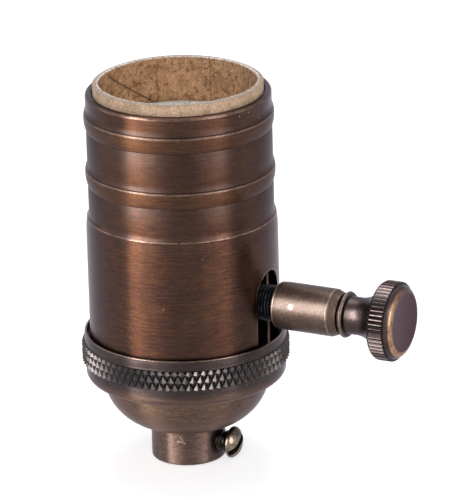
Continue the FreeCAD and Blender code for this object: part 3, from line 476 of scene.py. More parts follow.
knurl = bmesh.new()
for row in range(4):
    middle = KNURL_LOW + KNURL_STEP * row
    aside = 0.5 * (row + 1)
    corners = [(aside, middle - KNURL_STEP), (aside + 0.5, middle), (aside, middle + KNURL_STEP), (aside - 0.5, middle)]
    knurl.faces.new([knurl.verts.new(on_cylinder(KNURL_ROOT, share, height)) for share, height in corners])
bmesh.ops.spin(knurl, geom=knurl.faces[:], cent=(0, 0, 0), axis=(0, 0, 1),
               angle=2 * math.pi * (KNURL_COUNT - 1) / KNURL_COUNT, steps=KNURL_COUNT - 1,
               use_duplicate=True)
bmesh.ops.inset_individual(knurl, faces=knurl.faces[:], thickness=0.61 * MM,
                           depth=(KNURL_CREST - KNURL_ROOT) * MM, use_even_offset=True)
# The roll stops at the edges of the ring, where each cut diamond ends in a small chamfer.
for height, outward in ((KNURL_LOW, -1), (KNURL_TOP, 1)):
    cut = bmesh.ops.bisect_plane(knurl, geom=knurl.verts[:] + knurl.edges[:] + knurl.faces[:],
                                 plane_co=(0, 0, height * MM), plane_no=(0, 0, outward), clear_outer=True)
    rim = [item for item in cut["geom_cut"] if isinstance(item, bmesh.types.BMEdge)]
    ends = bmesh.ops.extrude_edge_only(knurl, edges=rim)
    for corner in ends["geom"]:
        if isinstance(corner, bmesh.types.BMVert):
            flat = math.hypot(corner.co.x, corner.co.y)
            shrink = (KNURL_ROOT - 0.03) * MM / flat
            corner.co.x *= shrink
            corner.co.y *= shrink
            corner.co.z += outward * (flat - KNURL_ROOT * MM) * 0.5
bmesh.ops.recalc_face_normals(knurl, faces=knurl.faces)
knurl_piece = as_object("knurl", knurl, 20)


def knurl_face(way):
    """1 on the knurl's width, 0 above and below it."""
    return way.rise((KNURL_LOW - 0.3) * MM, KNURL_LOW * MM) * way.rise((KNURL_TOP + 0.15) * MM, KNURL_TOP * MM)


def cap_worn_edge_highlight(finish, where, radius, way):
    """Inner edge of the lip and shoulder of the foot, rubbed and lightened as painted highlights."""
    lip_highlight = line_at(way, LIP_TOP, 0.16) * 0.5
    return lip_highlight + line_at(way, 16.12, 0.12) * 0.4


def cap_bowl_tone_and_reflection(finish, where, radius, way):
    """Browner, lighter colour on the foot, the bowl and the neck; the lightness is a painted reflection of the bright
    floor.
    """
    return way.rise(19.4 * MM, 17.6 * MM)


def cap_neck_tone_and_sheen(finish, where, radius, way):
    """Pinker colour on the neck, made paler as a painted sheen."""
    return way.rise(7.1 * MM, 6.8 * MM)


def cap_nick(finish, where, radius, way):
    """Two short bare scratches that meet in a corner on the neck."""
    scratch = finish.near(where, (2.5, -6.68, 4.65), 0.3)
    for spot in ((2.26, -6.76, 5.05), (2.02, -6.84, 5.45), (1.79, -6.90, 5.86), (2.12, -6.81, 4.77),
                 (1.75, -6.91, 4.88), (1.38, -6.99, 5.0)):
        scratch = scratch.maths("MAXIMUM", finish.near(where, spot, 0.26) * 0.8)
    return scratch


def cap_olive(finish, where, radius, way):
    """Brassy wear on the bowl and the foot, mostly at the front."""
    side = finish.node("ShaderNodeVectorMath", {"operation": "DOT_PRODUCT"},
                       [where, (-0.1, -1.0, 0.0)]).part("Value").rise(-0.004, 0.017)
    return way.rise(7.5 * MM, 10.0 * MM) * way.rise(16.8 * MM, 15.6 * MM) * side * 0.7


def cap_dirt_and_shade(finish, where, radius, way):
    """Painted shade in the corner under the bowl and on the lip's inner wall, a painted shadow round the set screw, and
    dirt with painted shade between the knurls.
    """
    # Dirt with painted shade at the knurls' roots.
    root = radius.rise((KNURL_ROOT + 0.07) * MM, (KNURL_ROOT + 0.01) * MM) * knurl_face(way)
    # Painted shadow of the set screw's head on the neck.
    screw_shadow = finish.near(where, (NECK_RADIUS, 0, SET_SCREW_HEIGHT), 4.3)
    # Painted shade on the lip's inner wall, in the gap round the shell.
    lip_gap_shade = radius.rise(18.94 * MM, 18.88 * MM) * way.rise(20.0 * MM, 21.0 * MM)
    # The line at 6.92 mm is painted shade in the corner under the bowl.
    dirt_and_shade = line_at(way, 6.92, 0.16) * 0.8 + root * 0.85 + screw_shadow + lip_gap_shade
    return dirt_and_shade.maths("MINIMUM", 1.0) * 0.92


cap_finish = bronze("antique_bronze_cap", dark=(0.028, 0.0185, 0.0175, 1), copper=(0.038, 0.026, 0.0235, 1),
                    layers=((cap_bowl_tone_and_reflection, (0.086, 0.049, 0.037, 1), 0.0), (cap_olive, (0.118, 0.070, 0.043, 1), 0.8),
                            (cap_neck_tone_and_sheen, (0.096, 0.060, 0.048, 1), 0.2), (cap_worn_edge_highlight, BRONZE_BARE_AND_HIGHLIGHT, 0.3),
                            (cap_nick, BRONZE_BARE_AND_HIGHLIGHT, 0.0)),
                    shade_and_grime=cap_dirt_and_shade)
knurl_finish = bronze("rolled_knurl", dark=(0.032, 0.026, 0.0255, 1), copper=(0.043, 0.035, 0.034, 1),
                      shade_and_grime=cap_dirt_and_shade, roughness=0.3, stretch=0.0)
for piece, material in ((cap, cap_finish), (knurl_piece, knurl_finish)):
    piece.data.materials.append(material)
    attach(piece, "socket")
    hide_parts("cap")

# Card tube: wound kraft card that insulates the shell, a little proud of the rim. Its cut edge
# is grey and fuzzy, and the notch for the switch's boss leaves an edge to be seen in the slot.
TUBE_RADIUS = 16.2
TUBE_WALL = 1.1
TUBE_TOP = 75.9
TUBE_SINK = 0.22
TUBE_SQUEEZE = 1.1
# Creases down the inside: direction in radians and strength; then the seam's two ends.
CREASES = ((1.618, 0.45), (1.03, 0.6), (0.65, 0.5), (2.31, 0.35))
SEAM = ((2.367, 66.78), (3.122, 74.41))
# Loose fibres: direction, height, bend, sweep and lean.
FIBRES = ((2.90, 67.5, 0.9, 75, 20), (2.80, 67.6, 0.5, 130, 200), (2.72, 67.2, 0.7, 90, 60), (2.66, 67.7, 1.1, 60, 140))
NOTCH_HALF = 6.8
NOTCH_TOP = 44.0
tube_inside = TUBE_RADIUS - TUBE_WALL
card_mesh = turned([
    (tube_inside, SHELL_FOOT),
    (TUBE_RADIUS, SHELL_FOOT),
    (TUBE_RADIUS, TUBE_TOP - 0.18),
    (TUBE_RADIUS - 0.18, TUBE_TOP, 0.18, -1),
    (tube_inside + 0.1, TUBE_TOP),
    (tube_inside, TUBE_TOP - 0.1, 0.1, -1),
], 288)
# The cut edge sinks a little towards the back and is pressed narrower there.
for corner in card_mesh.verts:
    if corner.co.z > (TUBE_TOP - 0.5) * MM:
        forward = corner.co.x * 0.45 - corner.co.y * 0.893
        corner.co.z -= TUBE_SINK * MM * (1 - forward / (TUBE_RADIUS * MM))
        lateral = corner.co.x * 0.893 + corner.co.y * 0.45
        squeeze = max(-forward, 0) * lateral / (TUBE_RADIUS * MM) ** 2 * TUBE_SQUEEZE * MM
        corner.co.x -= 0.893 * squeeze
        corner.co.y -= 0.45 * squeeze
card = as_object("card_lining", card_mesh)
notch = bmesh.new()
bmesh.ops.create_cube(notch, size=1.0)
bmesh.ops.scale(notch, verts=notch.verts, vec=(20 * MM, NOTCH_HALF * 2 * MM, (NOTCH_TOP - 10) * MM))
bmesh.ops.translate(notch, verts=notch.verts, vec=(10 * MM, 0, (NOTCH_TOP + 10) / 2 * MM))
cut_with(card, as_object("notch_cutter", notch))
fuzzy = bmesh.new()
fuzzy.from_mesh(card.data)
for turn, height, bend, sweep, lean in FIBRES:
    hair = bmesh.new()
    bmesh.ops.create_circle(hair, cap_ends=True, segments=6, radius=0.08 * MM,
                            matrix=Matrix.Translation((bend * MM, 0, 0)) @ Matrix.Rotation(math.pi / 2, 4, "X"))
    bmesh.ops.spin(hair, geom=hair.faces[:], cent=(0, 0, 0), axis=(0, 0, 1), angle=math.radians(sweep), steps=7)
    bmesh.ops.transform(hair, verts=hair.verts, matrix=(
        Matrix.Translation((14.95 * MM * math.cos(turn), 14.95 * MM * math.sin(turn), height * MM))
        @ Matrix.Rotation(turn + math.pi / 2, 4, "Z") @ Matrix.Rotation(math.pi / 2, 4, "X")
        @ Matrix.Rotation(math.radians(lean), 4, "Z")))
    bmesh.ops.recalc_face_normals(hair, faces=hair.faces)
    for face in hair.faces:
        face.material_index = 1
    strand = bpy.data.meshes.new("strand")
    hair.to_mesh(strand)
    hair.free()
    fuzzy.from_mesh(strand)
    bpy.data.meshes.remove(strand)
fuzzy.to_mesh(card.data)
fuzzy.free()


def kraft():
    """Kraft card: fibres, flecks, creases up and down, a slanting seam and a grey cut edge."""
    finish = Finish("kraft_card", Metallic=0.0, Roughness=0.9, Specular_IOR_Level=0.25)
    where, first, second, radius, way = turned_place(finish, "Z")
    fibre = finish.noise(where, 3200.0, 4.0, 0.8)
    cloud = finish.noise(where, 330.0, 4.0, 0.7)
    spot = finish.noise(where, 1050.0, 3.0, 0.75)
    outside = radius.rise((tube_inside + 0.25) * MM, (tube_inside + 0.6) * MM)
    tan = finish.mix(outside, (0.58, 0.335, 0.175, 1), (0.66, 0.455, 0.310, 1))
    deep = finish.mix(outside, (0.36, 0.19, 0.085, 1), (0.48, 0.32, 0.205, 1))
    colour = finish.mix(cloud.rise(0.38, 0.66) * 0.8, tan, deep)
    flecks = spot.rise(0.53, 0.62) * (1 - outside * 0.6)
    colour = finish.mix(flecks * 0.75, colour, (0.17, 0.075, 0.030, 1))
    colour = finish.mix(spot.rise(0.40, 0.33) * 0.5, colour, (0.78, 0.56, 0.36, 1))
    around = second.maths("ARCTAN2", first)
    drift = (finish.noise(finish.vector(0.0, 0.0, way), 260.0, 2.0) - 0.5) * 0.05
    creases = finish.noise(finish.vector(around * 9.0, 0.0, way * 14.0), 1.0, 2.0, 0.6)
    line = (creases - 0.5).maths("ABSOLUTE").rise(0.006, 0.0015) * 0.35
    for turn, depth in CREASES:
        line = line.maths("MAXIMUM", (around + drift - turn).maths("ABSOLUTE").rise(0.014, 0.005) * depth)
    (low_turn, low), (high_turn, high) = SEAM
    slant = (around - low_turn) * ((high - low) * MM / (high_turn - low_turn)) + low * MM
    seam = (way - slant).maths("ABSOLUTE").rise(0.26 * MM, 0.08 * MM) * around.rise(low_turn - 0.04, low_turn)
    colour = finish.mix(line.maths("MAXIMUM", seam * 0.85) * (1 - outside), colour, (0.09, 0.045, 0.022, 1))
    forward = (first * 0.45 - second * 0.893) * radius * (1 / (TUBE_RADIUS * MM))
    level = way + (1.0 - forward) * (TUBE_SINK * MM)
    edge = level.rise((TUBE_TOP - 0.26) * MM, (TUBE_TOP - 0.08) * MM) * fibre.rise(0.25, 0.5)
    colour = finish.mix(edge * 0.85, colour, (0.36, 0.29, 0.245, 1))
    fray = edge * radius.rise((tube_inside + 0.42) * MM, (tube_inside + 0.2) * MM) * fibre.rise(0.42, 0.58)
    colour = finish.mix(fray, colour, (0.82, 0.75, 0.69, 1))
    shade = (fibre - 0.5) * 2.3 + 1.0
    colour = finish.mix(1.0, colour, finish.vector(shade, shade, shade), "MULTIPLY")
    return finish.show(Base_Color=colour, Normal=finish.bump(fibre * 0.6 + spot * 0.6, 0.12, 0.8))


def loose_fibre():
    """Pale paper fibre."""
    finish = Finish("loose_fibre", Metallic=0.0, Roughness=0.8, Specular_IOR_Level=0.25)
    tint = finish.noise(finish.place()[0], 1200.0, 2.0, 0.6)
    return finish.show(Base_Color=finish.mix(tint, (0.72, 0.58, 0.40, 1), (1.0, 0.95, 0.82, 1)))


card.data.materials.append(kraft())
card.data.materials.append(loose_fibre())
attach(card, "socket")
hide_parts("card_tube")

# Screw shell: drawn aluminium with a rolled lamp thread, a plain mouth and a trimmed rim,
# riveted through its floor to the insulator below.
THREAD_MINOR = 12.4
THREAD_MAJOR = 13.3
THREAD_PITCH = 3.63
THREAD_START = 47.6
THREAD_TURNS = 4.5
SCREW_SHELL_WALL = 0.35
SCREW_SHELL_TOP = 67.1
FLOOR_HEIGHT = 45.6
FLOOR_HOLE = 7.5
RIVET_PLACES = ((6.6, 7.4), (-6.6, -7.4))
RIVET_RADIUS = 1.3


def rolled_thread(mesh, axis_height, along, start, end, pitch, depth, fade):
    """Move the walls in towards the axis along a helix that fades out at both ends."""
    for corner in mesh.verts:
        if along == "Z":
            around = math.atan2(corner.co.y, corner.co.x)
            way = corner.co.z / MM
            centre = Vector((0, 0, corner.co.z))
        else:
            around = math.atan2(corner.co.z - axis_height * MM, corner.co.y)
            way = corner.co.x / MM
            centre = Vector((corner.co.x, 0, axis_height * MM))
        if not start < way < end:
            continue
        ends = min((way - start) / fade, (end - way) / fade, 1.0)
        wave = (1 - math.cos(2 * math.pi * (way / pitch - around / (2 * math.pi)))) / 2
        out = corner.co - centre
        corner.co = centre + out * (1 - wave * depth * ends * MM / out.length)


thread_end = THREAD_START + THREAD_PITCH * THREAD_TURNS
rows = 72
heights = [THREAD_START + (thread_end - THREAD_START) * row / rows for row in range(rows + 1)]
screw_outline = [(FLOOR_HOLE, FLOOR_HEIGHT + SCREW_SHELL_WALL), (THREAD_MINOR - 0.5, FLOOR_HEIGHT + SCREW_SHELL_WALL),
                 (THREAD_MINOR, FLOOR_HEIGHT + SCREW_SHELL_WALL + 0.5, 0.5, -1)]
screw_outline += [(THREAD_MAJOR, height) for height in heights]
screw_outline += [(THREAD_MAJOR, SCREW_SHELL_TOP), (THREAD_MAJOR + SCREW_SHELL_WALL, SCREW_SHELL_TOP)]
screw_outline += [(THREAD_MAJOR + SCREW_SHELL_WALL, height) for height in reversed(heights)]
screw_outline += [(THREAD_MINOR + SCREW_SHELL_WALL, FLOOR_HEIGHT + 0.85), (THREAD_MINOR - 0.5, FLOOR_HEIGHT, 0.85, 1),
                  (FLOOR_HOLE, FLOOR_HEIGHT)]
screw_mesh = turned(screw_outline, 192)
rolled_thread(screw_mesh, 0, "Z", THREAD_START - 0.01, thread_end + 0.01, THREAD_PITCH,
              THREAD_MAJOR - THREAD_MINOR, 1.2)
screw_shell = as_object("rolled_screw_shell", screw_mesh, 35)
for x, y in RIVET_PLACES:
    hole = bmesh.new()
    bmesh.ops.create_cone(hole, cap_ends=True, segments=32, radius1=RIVET_RADIUS * MM,
                          radius2=RIVET_RADIUS * MM, depth=4 * MM,
                          matrix=Matrix.Translation((x * MM, y * MM, FLOOR_HEIGHT * MM)))
    cut_with(screw_shell, as_object("rivet_hole", hole))


def drawn_aluminium():
    """Bare drawn aluminium: pale, faintly streaked, with scuffs on the rim."""
    finish = Finish("drawn_aluminium", Metallic=1.0)
    where, first, second, radius, way = turned_place(finish, "Z")
    streak = brush_marks(finish, first, second, radius, way, 5.0, 0.3)
    scuff = finish.noise(where, 420.0, 4.0, 0.7)
    colour = finish.mix(streak.rise(0.3, 0.7), (0.62, 0.61, 0.59, 1), (0.86, 0.85, 0.83, 1))
    dark = scuff.rise(0.60, 0.70) * way.rise(64.5 * MM, 66.6 * MM)
    colour = finish.mix(dark * 0.85, colour, (0.07, 0.06, 0.055, 1))
    return finish.show(Base_Color=colour, Roughness=streak * 0.2 + 0.25 + dark * 0.3,
                       Normal=finish.bump(streak, 0.02, 0.4))


screw_shell.data.materials.append(drawn_aluminium())
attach(screw_shell, "socket")
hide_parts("screw_shell")

# Switch housing: black moulded phenolic. Its threaded neck comes out through the slot and
# carries the sleeve; the rest stays inside the card tube.
BUSH_START = 14.6
BUSH_RADIUS = 3.5
BUSH_END = 24.3
BUSH_PITCH = 0.635
SPINDLE_RADIUS = 1.6


def about_knob_axis(mesh):
    """Lay a turned mesh along the knob's axis."""
    bmesh.ops.transform(mesh, verts=mesh.verts,
                        matrix=Matrix.Translation((0, 0, KNOB_HEIGHT * MM)) @ Matrix.Rotation(math.pi / 2, 4, "Y"))
    return mesh


housing_mesh = bmesh.new()
housing_mesh.from_mesh(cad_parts["switch_housing"].data)
bmesh.ops.remove_doubles(housing_mesh, verts=housing_mesh.verts, dist=0.0005 * MM)
bmesh.ops.bisect_plane(housing_mesh, geom=housing_mesh.verts[:] + housing_mesh.edges[:] + housing_mesh.faces[:],
                       plane_co=(BUSH_START * MM + 0.02 * MM, 0, 0), plane_no=(1, 0, 0), clear_outer=True)
housing = as_object("moulded_housing", housing_mesh)

bush_rows = 150
bush_outline = [(SPINDLE_RADIUS + 0.05, BUSH_START - 0.5)]
bush_outline += [(BUSH_RADIUS, BUSH_START - 0.5 + (BUSH_END - BUSH_START + 0.3) * row / bush_rows)
                 for row in range(bush_rows + 1)]
bush_outline += [(BUSH_RADIUS - 0.2, BUSH_END), (SPINDLE_RADIUS + 0.05, BUSH_END)]
bush_mesh = about_knob_axis(turned(bush_outline, 96))
rolled_thread(bush_mesh, KNOB_HEIGHT, "X", BUSH_START + 0.6, BUSH_END - 0.25, BUSH_PITCH, 0.34, 0.4)
bush = as_object("threaded_neck", bush_mesh, 60)


def phenolic(name, colour=(0.0035, 0.0045, 0.0075, 1)):
    """Black moulded plastic with a slight grain and dust."""
    finish = Finish(name, Metallic=0.0, Specular_IOR_Level=0.22)
    where = finish.place()[0]
    grain = finish.noise(where, 1500.0, 3.0, 0.6)
    dust = finish.noise(where, 350.0, 4.0, 0.7)
    shade = finish.mix(dust.rise(0.5, 0.75) * 0.4, colour, (0.018, 0.024, 0.036, 1))
    return finish.show(Base_Color=shade, Roughness=grain * 0.25 + 0.25,
                       Normal=finish.bump(grain, 0.02, 0.4))


def threaded_phenolic():
    """The same plastic on the neck, with blue-grey painted glints in patches on the thread's crests, and painted shadow
    beside the sleeve.
    """
    finish = Finish("threaded_phenolic", Metallic=0.0, Specular_IOR_Level=0.06)
    where, first, second, radius, way = turned_place(finish, "X", KNOB_HEIGHT)
    # Patches where the painted glints show; they also vary the roughness.
    glint_patches = finish.noise(where, 620.0, 3.0, 0.65).rise(0.42, 0.62)
    crest = radius.rise((BUSH_RADIUS - 0.07) * MM, (BUSH_RADIUS - 0.01) * MM)
    # 1 away from the sleeve, 0 beside it: painted shadow of the sleeve.
    out_of_sleeve_shadow = way.rise(20.2 * MM, 19.5 * MM)
    # Blue-grey on the crests is painted glint.
    shade = finish.mix(crest * glint_patches * out_of_sleeve_shadow, (0.0012, 0.0012, 0.0025, 1), (0.060, 0.068, 0.090, 1))
    return finish.show(Base_Color=shade, Roughness=glint_patches * 0.2 + 0.25)


for piece, material in ((housing, phenolic("black_phenolic")), (bush, threaded_phenolic())):
    piece.data.materials.append(material)
    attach(piece, "socket")
    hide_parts("switch_housing")

# Sleeve: turned brass screwed on the neck, with the dark finish rubbed paler than elsewhere.
SLEEVE_START = 20.35
SLEEVE_END = 33.6
SLEEVE_RADIUS = 4.57
SLEEVE_BORE = 2.3
sleeve = as_object("turned_sleeve", about_knob_axis(turned([
    (BUSH_RADIUS + 0.04, SLEEVE_START + 0.1),
    (BUSH_RADIUS + 0.14, SLEEVE_START),
    (SLEEVE_RADIUS - 0.4, SLEEVE_START),
    (SLEEVE_RADIUS - 0.1, SLEEVE_START + 0.3, 0.4, -1),
    (SLEEVE_RADIUS, SLEEVE_START + 1.6),
    (SLEEVE_RADIUS, SLEEVE_END - 1.75),
    (SLEEVE_RADIUS - 0.06, SLEEVE_END - 1.55, 0.3, -1),
    (3.95, SLEEVE_END - 0.1),
    (3.85, SLEEVE_END, 0.12, -1),
    (SLEEVE_BORE, SLEEVE_END),
    (SLEEVE_BORE, BUSH_END + 0.3),
    (BUSH_RADIUS + 0.04, BUSH_END + 0.3),
], 192)))


def sleeve_rub(finish, where, radius, way):
    """Rubbed edges and a scratched patch near the neck."""
    ends = (way - (SLEEVE_START + 0.25) * MM).maths("ABSOLUTE").rise(0.3 * MM, 0.05 * MM)
    step = (way - (SLEEVE_END - 1.65) * MM).maths("ABSOLUTE").rise(0.3 * MM, 0.08 * MM)
    patch = finish.near(where, (24.6, -4.3, 34.9), 0.7)
    return ends * 0.8 + step * 0.3 + patch * 0.9 + 0.04


sleeve.data.materials.append(bronze("worn_bronze_sleeve", "X", KNOB_HEIGHT,
                                    dark=(0.046, 0.0275, 0.0205, 1), copper=(0.066, 0.042, 0.032, 1),
                                    layers=((sleeve_rub, (0.42, 0.31, 0.24, 1), 0.6),),
                                    roughness=0.45, stretch=0.0, coat=0.3))
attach(sleeve, "socket")
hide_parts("sleeve")

# Knob: turned in one piece, bead, waist and head, with straight teeth cut round the head.
KNOB_START = 33.9
BEAD_WIDTH = 1.25
WAIST_RADIUS = 3.62
HEAD_BACK = 41.65
HEAD_RADIUS = 7.6
HEAD_FRONT = 44.85
FACE_PLACE = 46.25
FACE_RADIUS = 5.8
TEETH = 54
TOOTH_DEPTH = 0.34
TOOTH_GAP = 0.78
bead_end = KNOB_START + BEAD_WIDTH
knob = as_object("turned_knob", about_knob_axis(turned([
    (SPINDLE_RADIUS + 0.02, 41.0),
    (SPINDLE_RADIUS + 0.02, KNOB_START),
    (3.8, KNOB_START),
    (3.9, KNOB_START + 0.1, 0.12, 1),
    (4.44, KNOB_START + BEAD_WIDTH / 2, 0.75, -1),
    (3.85, bead_end, 0.75, -1),
    (WAIST_RADIUS, bead_end + 0.12, 0.2, 1),
    (WAIST_RADIUS, bead_end + 1.6),
    (7.27, HEAD_BACK, 4.72, 1),
    (HEAD_RADIUS - 0.05, HEAD_BACK + 0.45),
    (HEAD_RADIUS, HEAD_BACK + 0.6, 0.2, -1),
    (HEAD_RADIUS, HEAD_FRONT - 0.12),
    (HEAD_RADIUS - 0.12, HEAD_FRONT, 0.12, -1),
    (HEAD_RADIUS - 0.42, HEAD_FRONT),
    (HEAD_RADIUS - 0.46, HEAD_FRONT + 0.08),
    (FACE_RADIUS + 0.12, FACE_PLACE - 0.02, 2.0, -1),
    (FACE_RADIUS - 0.1, FACE_PLACE, 0.4, -1),
    (0, FACE_PLACE),
], 432, open_ends=True)))
teeth = bmesh.new()
reach = TOOTH_GAP / 2 * (TOOTH_DEPTH + 0.2) / TOOTH_DEPTH
wedge = [((HEAD_RADIUS + 0.2) * MM, -reach * MM), ((HEAD_RADIUS - TOOTH_DEPTH) * MM, 0),
         ((HEAD_RADIUS + 0.2) * MM, reach * MM)]
base = teeth.faces.new([teeth.verts.new((x, y, (HEAD_BACK - 0.5) * MM)) for x, y in wedge])
pushed = bmesh.ops.extrude_face_region(teeth, geom=[base])
bmesh.ops.translate(teeth, verts=[item for item in pushed["geom"] if isinstance(item, bmesh.types.BMVert)],
                    vec=(0, 0, (HEAD_FRONT - HEAD_BACK + 0.5) * MM))
bmesh.ops.recalc_face_normals(teeth, faces=teeth.faces)
bmesh.ops.rotate(teeth, verts=teeth.verts, matrix=Matrix.Rotation(math.radians(0.31), 3, "Z"))
bmesh.ops.spin(teeth, geom=teeth.faces[:], cent=(0, 0, 0), axis=(0, 0, 1),
               angle=2 * math.pi * (TEETH - 1) / TEETH, steps=TEETH - 1, use_duplicate=True)
cut_with(knob, as_object("teeth_cutter", about_knob_axis(teeth)))


def knob_bevel_wear_and_highlight(finish, where, radius, way):
    """Brassy wear on the bevel round the face, lightest on its front and lower side as a painted highlight."""
    side = finish.node("ShaderNodeVectorMath", {"operation": "DOT_PRODUCT"},
                       [where, (0.0, -0.85, -0.53)]).part("Value").rise(-0.024, -0.012)
    ring = radius.rise((FACE_RADIUS - 0.3) * MM, FACE_RADIUS * MM) * radius.rise(6.95 * MM, 6.5 * MM)
    return ring * way.rise((FACE_PLACE - 0.6) * MM, (FACE_PLACE - 0.4) * MM) * (side * 0.9 + 0.12)


def knob_face(finish, where, radius, way):
    """Redder brown on the face."""
    return way.rise((FACE_PLACE - 0.06) * MM, (FACE_PLACE - 0.02) * MM)


def knob_rub(finish, where, radius, way):
    """Rubbed bead and tips of the teeth."""
    bead = radius.rise(4.1 * MM, 4.4 * MM) * way.rise((bead_end + 0.1) * MM, (bead_end - 0.3) * MM)
    tips = radius.rise((HEAD_RADIUS - 0.08) * MM, HEAD_RADIUS * MM)
    return bead * 0.4 + tips * 0.12


def knob_dirt_and_shade(finish, where, radius, way):
    """Dirt with painted shade in the groove beside the bead, between the teeth and at the head's front edge."""
    # Dirt with painted shade between the teeth.
    root = radius.rise((HEAD_RADIUS - 0.03) * MM, (HEAD_RADIUS - 0.2) * MM) * radius.rise(7.1 * MM, 7.2 * MM) \
        * way.rise(HEAD_BACK * MM, (HEAD_BACK + 0.2) * MM) * way.rise((HEAD_FRONT + 0.02) * MM, (HEAD_FRONT - 0.02) * MM)
    # Painted shade in the groove at the head's front edge.
    step = line_at(way, HEAD_FRONT + 0.03, 0.14) * radius.rise(6.9 * MM, 7.0 * MM)
    beside = line_at(way, bead_end + 0.1, 0.22) * radius.rise(4.0 * MM, 3.8 * MM)
    return (beside + step + root).maths("MINIMUM", 1.0) * 0.95


knob.data.materials.append(bronze("antique_bronze_knob", "X", KNOB_HEIGHT,
                                  dark=(0.036, 0.0245, 0.0235, 1), copper=(0.052, 0.036, 0.033, 1),
                                  layers=((knob_face, (0.039, 0.0100, 0.0060, 1), 0.0),
                                          (knob_bevel_wear_and_highlight, (0.29, 0.165, 0.09, 1), 0.3),
                                          (knob_rub, (0.34, 0.24, 0.20, 1), 0.4)),
                                  shade_and_grime=knob_dirt_and_shade, roughness=0.33, stretch=0.0, coat=0.2))
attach(knob, "turn_knob")
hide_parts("knob")

# Set screw: round-headed, slotted and backed out of the neck, its finish half worn away.
SCREW_TIP = 4.6
SCREW_HEAD = 9.1
SCREW_HEAD_RADIUS = 3.06
SCREW_HEAD_TOP = 11.05
SCREW_PITCH = 0.8
shank_rows = 60
screw_outline = [(0, SCREW_TIP), (SET_SCREW_RADIUS - 0.3, SCREW_TIP)]
screw_outline += [(SET_SCREW_RADIUS, SCREW_TIP + 0.3 + (SCREW_HEAD - SCREW_TIP - 0.3) * row / shank_rows)
                  for row in range(shank_rows)]
screw_outline += [
    (SET_SCREW_RADIUS - 0.1, SCREW_HEAD),
    (SCREW_HEAD_RADIUS - 0.35, SCREW_HEAD),
    (SCREW_HEAD_RADIUS, SCREW_HEAD + 0.4, 0.42, -1),
    (SCREW_HEAD_RADIUS - 0.05, SCREW_HEAD + 0.7),
    (1.2, SCREW_HEAD_TOP - 0.06, 2.3, -1),
    (0, SCREW_HEAD_TOP),
]
screw_mesh = turned(screw_outline, 96, open_ends=True)
bmesh.ops.transform(screw_mesh, verts=screw_mesh.verts,
                    matrix=Matrix.Translation((0, 0, SET_SCREW_HEIGHT * MM)) @ Matrix.Rotation(math.pi / 2, 4, "Y"))
rolled_thread(screw_mesh, SET_SCREW_HEIGHT, "X", SCREW_TIP + 0.2, SCREW_HEAD - 0.05, SCREW_PITCH, 0.36, 0.3)
set_screw = as_object("slotted_set_screw", screw_mesh, 40)
SLOT_TURN = -60
SLOT_DEPTH = 1.3
slit = bmesh.new()
bmesh.ops.create_cube(slit, size=1.0)
bmesh.ops.scale(slit, verts=slit.verts, vec=(2 * MM, 1.3 * MM, 8 * MM))
bmesh.ops.rotate(slit, verts=slit.verts, matrix=Matrix.Rotation(math.radians(SLOT_TURN), 3, "X"))
bmesh.ops.translate(slit, verts=slit.verts, vec=((SCREW_HEAD_TOP - SLOT_DEPTH + 1) * MM, 0, SET_SCREW_HEIGHT * MM))
cut_with(set_screw, as_object("slit_cutter", slit))


def screw_rub(finish, where, radius, way):
    """Worn head."""
    return way.rise((SCREW_HEAD - 0.1) * MM, (SCREW_HEAD + 0.1) * MM) * 0.75


def screw_dirt_and_shade(finish, where, radius, way):
    """Painted shade with dirt on the slot's floor and on the shank under the head, and darker towards the upper side of
    the screw.
    """
    # Darker towards the upper side of the screw.
    left = finish.node("ShaderNodeVectorMath", {"operation": "DOT_PRODUCT"},
                       [where, (0.0, 0.25, 1.0)]).part("Value").rise((SET_SCREW_HEIGHT + 0.5) * MM,
                                                                   (SET_SCREW_HEIGHT + 1.9) * MM)
    # Painted shade with dirt on the slot's floor.
    floor = line_at(way, SCREW_HEAD_TOP - SLOT_DEPTH, 0.3) * radius.rise((SCREW_HEAD_RADIUS - 0.02) * MM, (SCREW_HEAD_RADIUS - 0.3) * MM)
    # Painted shade on the shank under the head.
    shank = way.rise((SCREW_HEAD + 0.02) * MM, (SCREW_HEAD - 0.1) * MM)
    return (floor + shank * 0.8 + left * 0.85).maths("MINIMUM", 1.0) * 0.9


set_screw.data.materials.append(bronze("worn_bronze_screw", "X", SET_SCREW_HEIGHT,
                                       dark=(0.05, 0.04, 0.03, 1), copper=(0.09, 0.07, 0.05, 1),
                                       layers=((screw_rub, (0.26, 0.20, 0.15, 1), 0.7),),
                                       shade_and_grime=screw_dirt_and_shade, roughness=0.3, stretch=0.0))
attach(set_screw, "socket")
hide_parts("set_screw")


# Inner pieces, seen only down the mouth, through the slot or up the neck: fibre disc, moulded
# insulator and rotor, brass strips, rivets, terminal screws, spindle and its clip.
def plain_metal(name, colour, roughness):
    """Rolled or turned metal with faint marks and a little tarnish."""
    finish = Finish(name, Metallic=1.0)
    where = finish.place()[0]
    mark = finish.noise(where, 1400.0, 3.0, 0.6)
    tarnish = finish.noise(where, 260.0, 4.0, 0.6)
    darker = tuple(value * 0.6 for value in colour[:3]) + (1,)
    shade = finish.mix(tarnish.rise(0.45, 0.75) * 0.7, colour, darker)
    return finish.show(Base_Color=shade, Roughness=mark * 0.2 + roughness - 0.1,
                       Normal=finish.bump(mark, 0.01, 0.4))


def pressed_fibre():
    """Grey-brown pressed fibre."""
    finish = Finish("pressed_fibre", Metallic=0.0, Roughness=0.85)
    where = finish.place()[0]
    fibre = finish.noise(where, 1800.0, 4.0, 0.7)
    shade = finish.mix(fibre.rise(0.35, 0.7), (0.055, 0.045, 0.038, 1), (0.12, 0.10, 0.085, 1))
    return finish.show(Base_Color=shade, Normal=finish.bump(fibre, 0.05, 0.6))


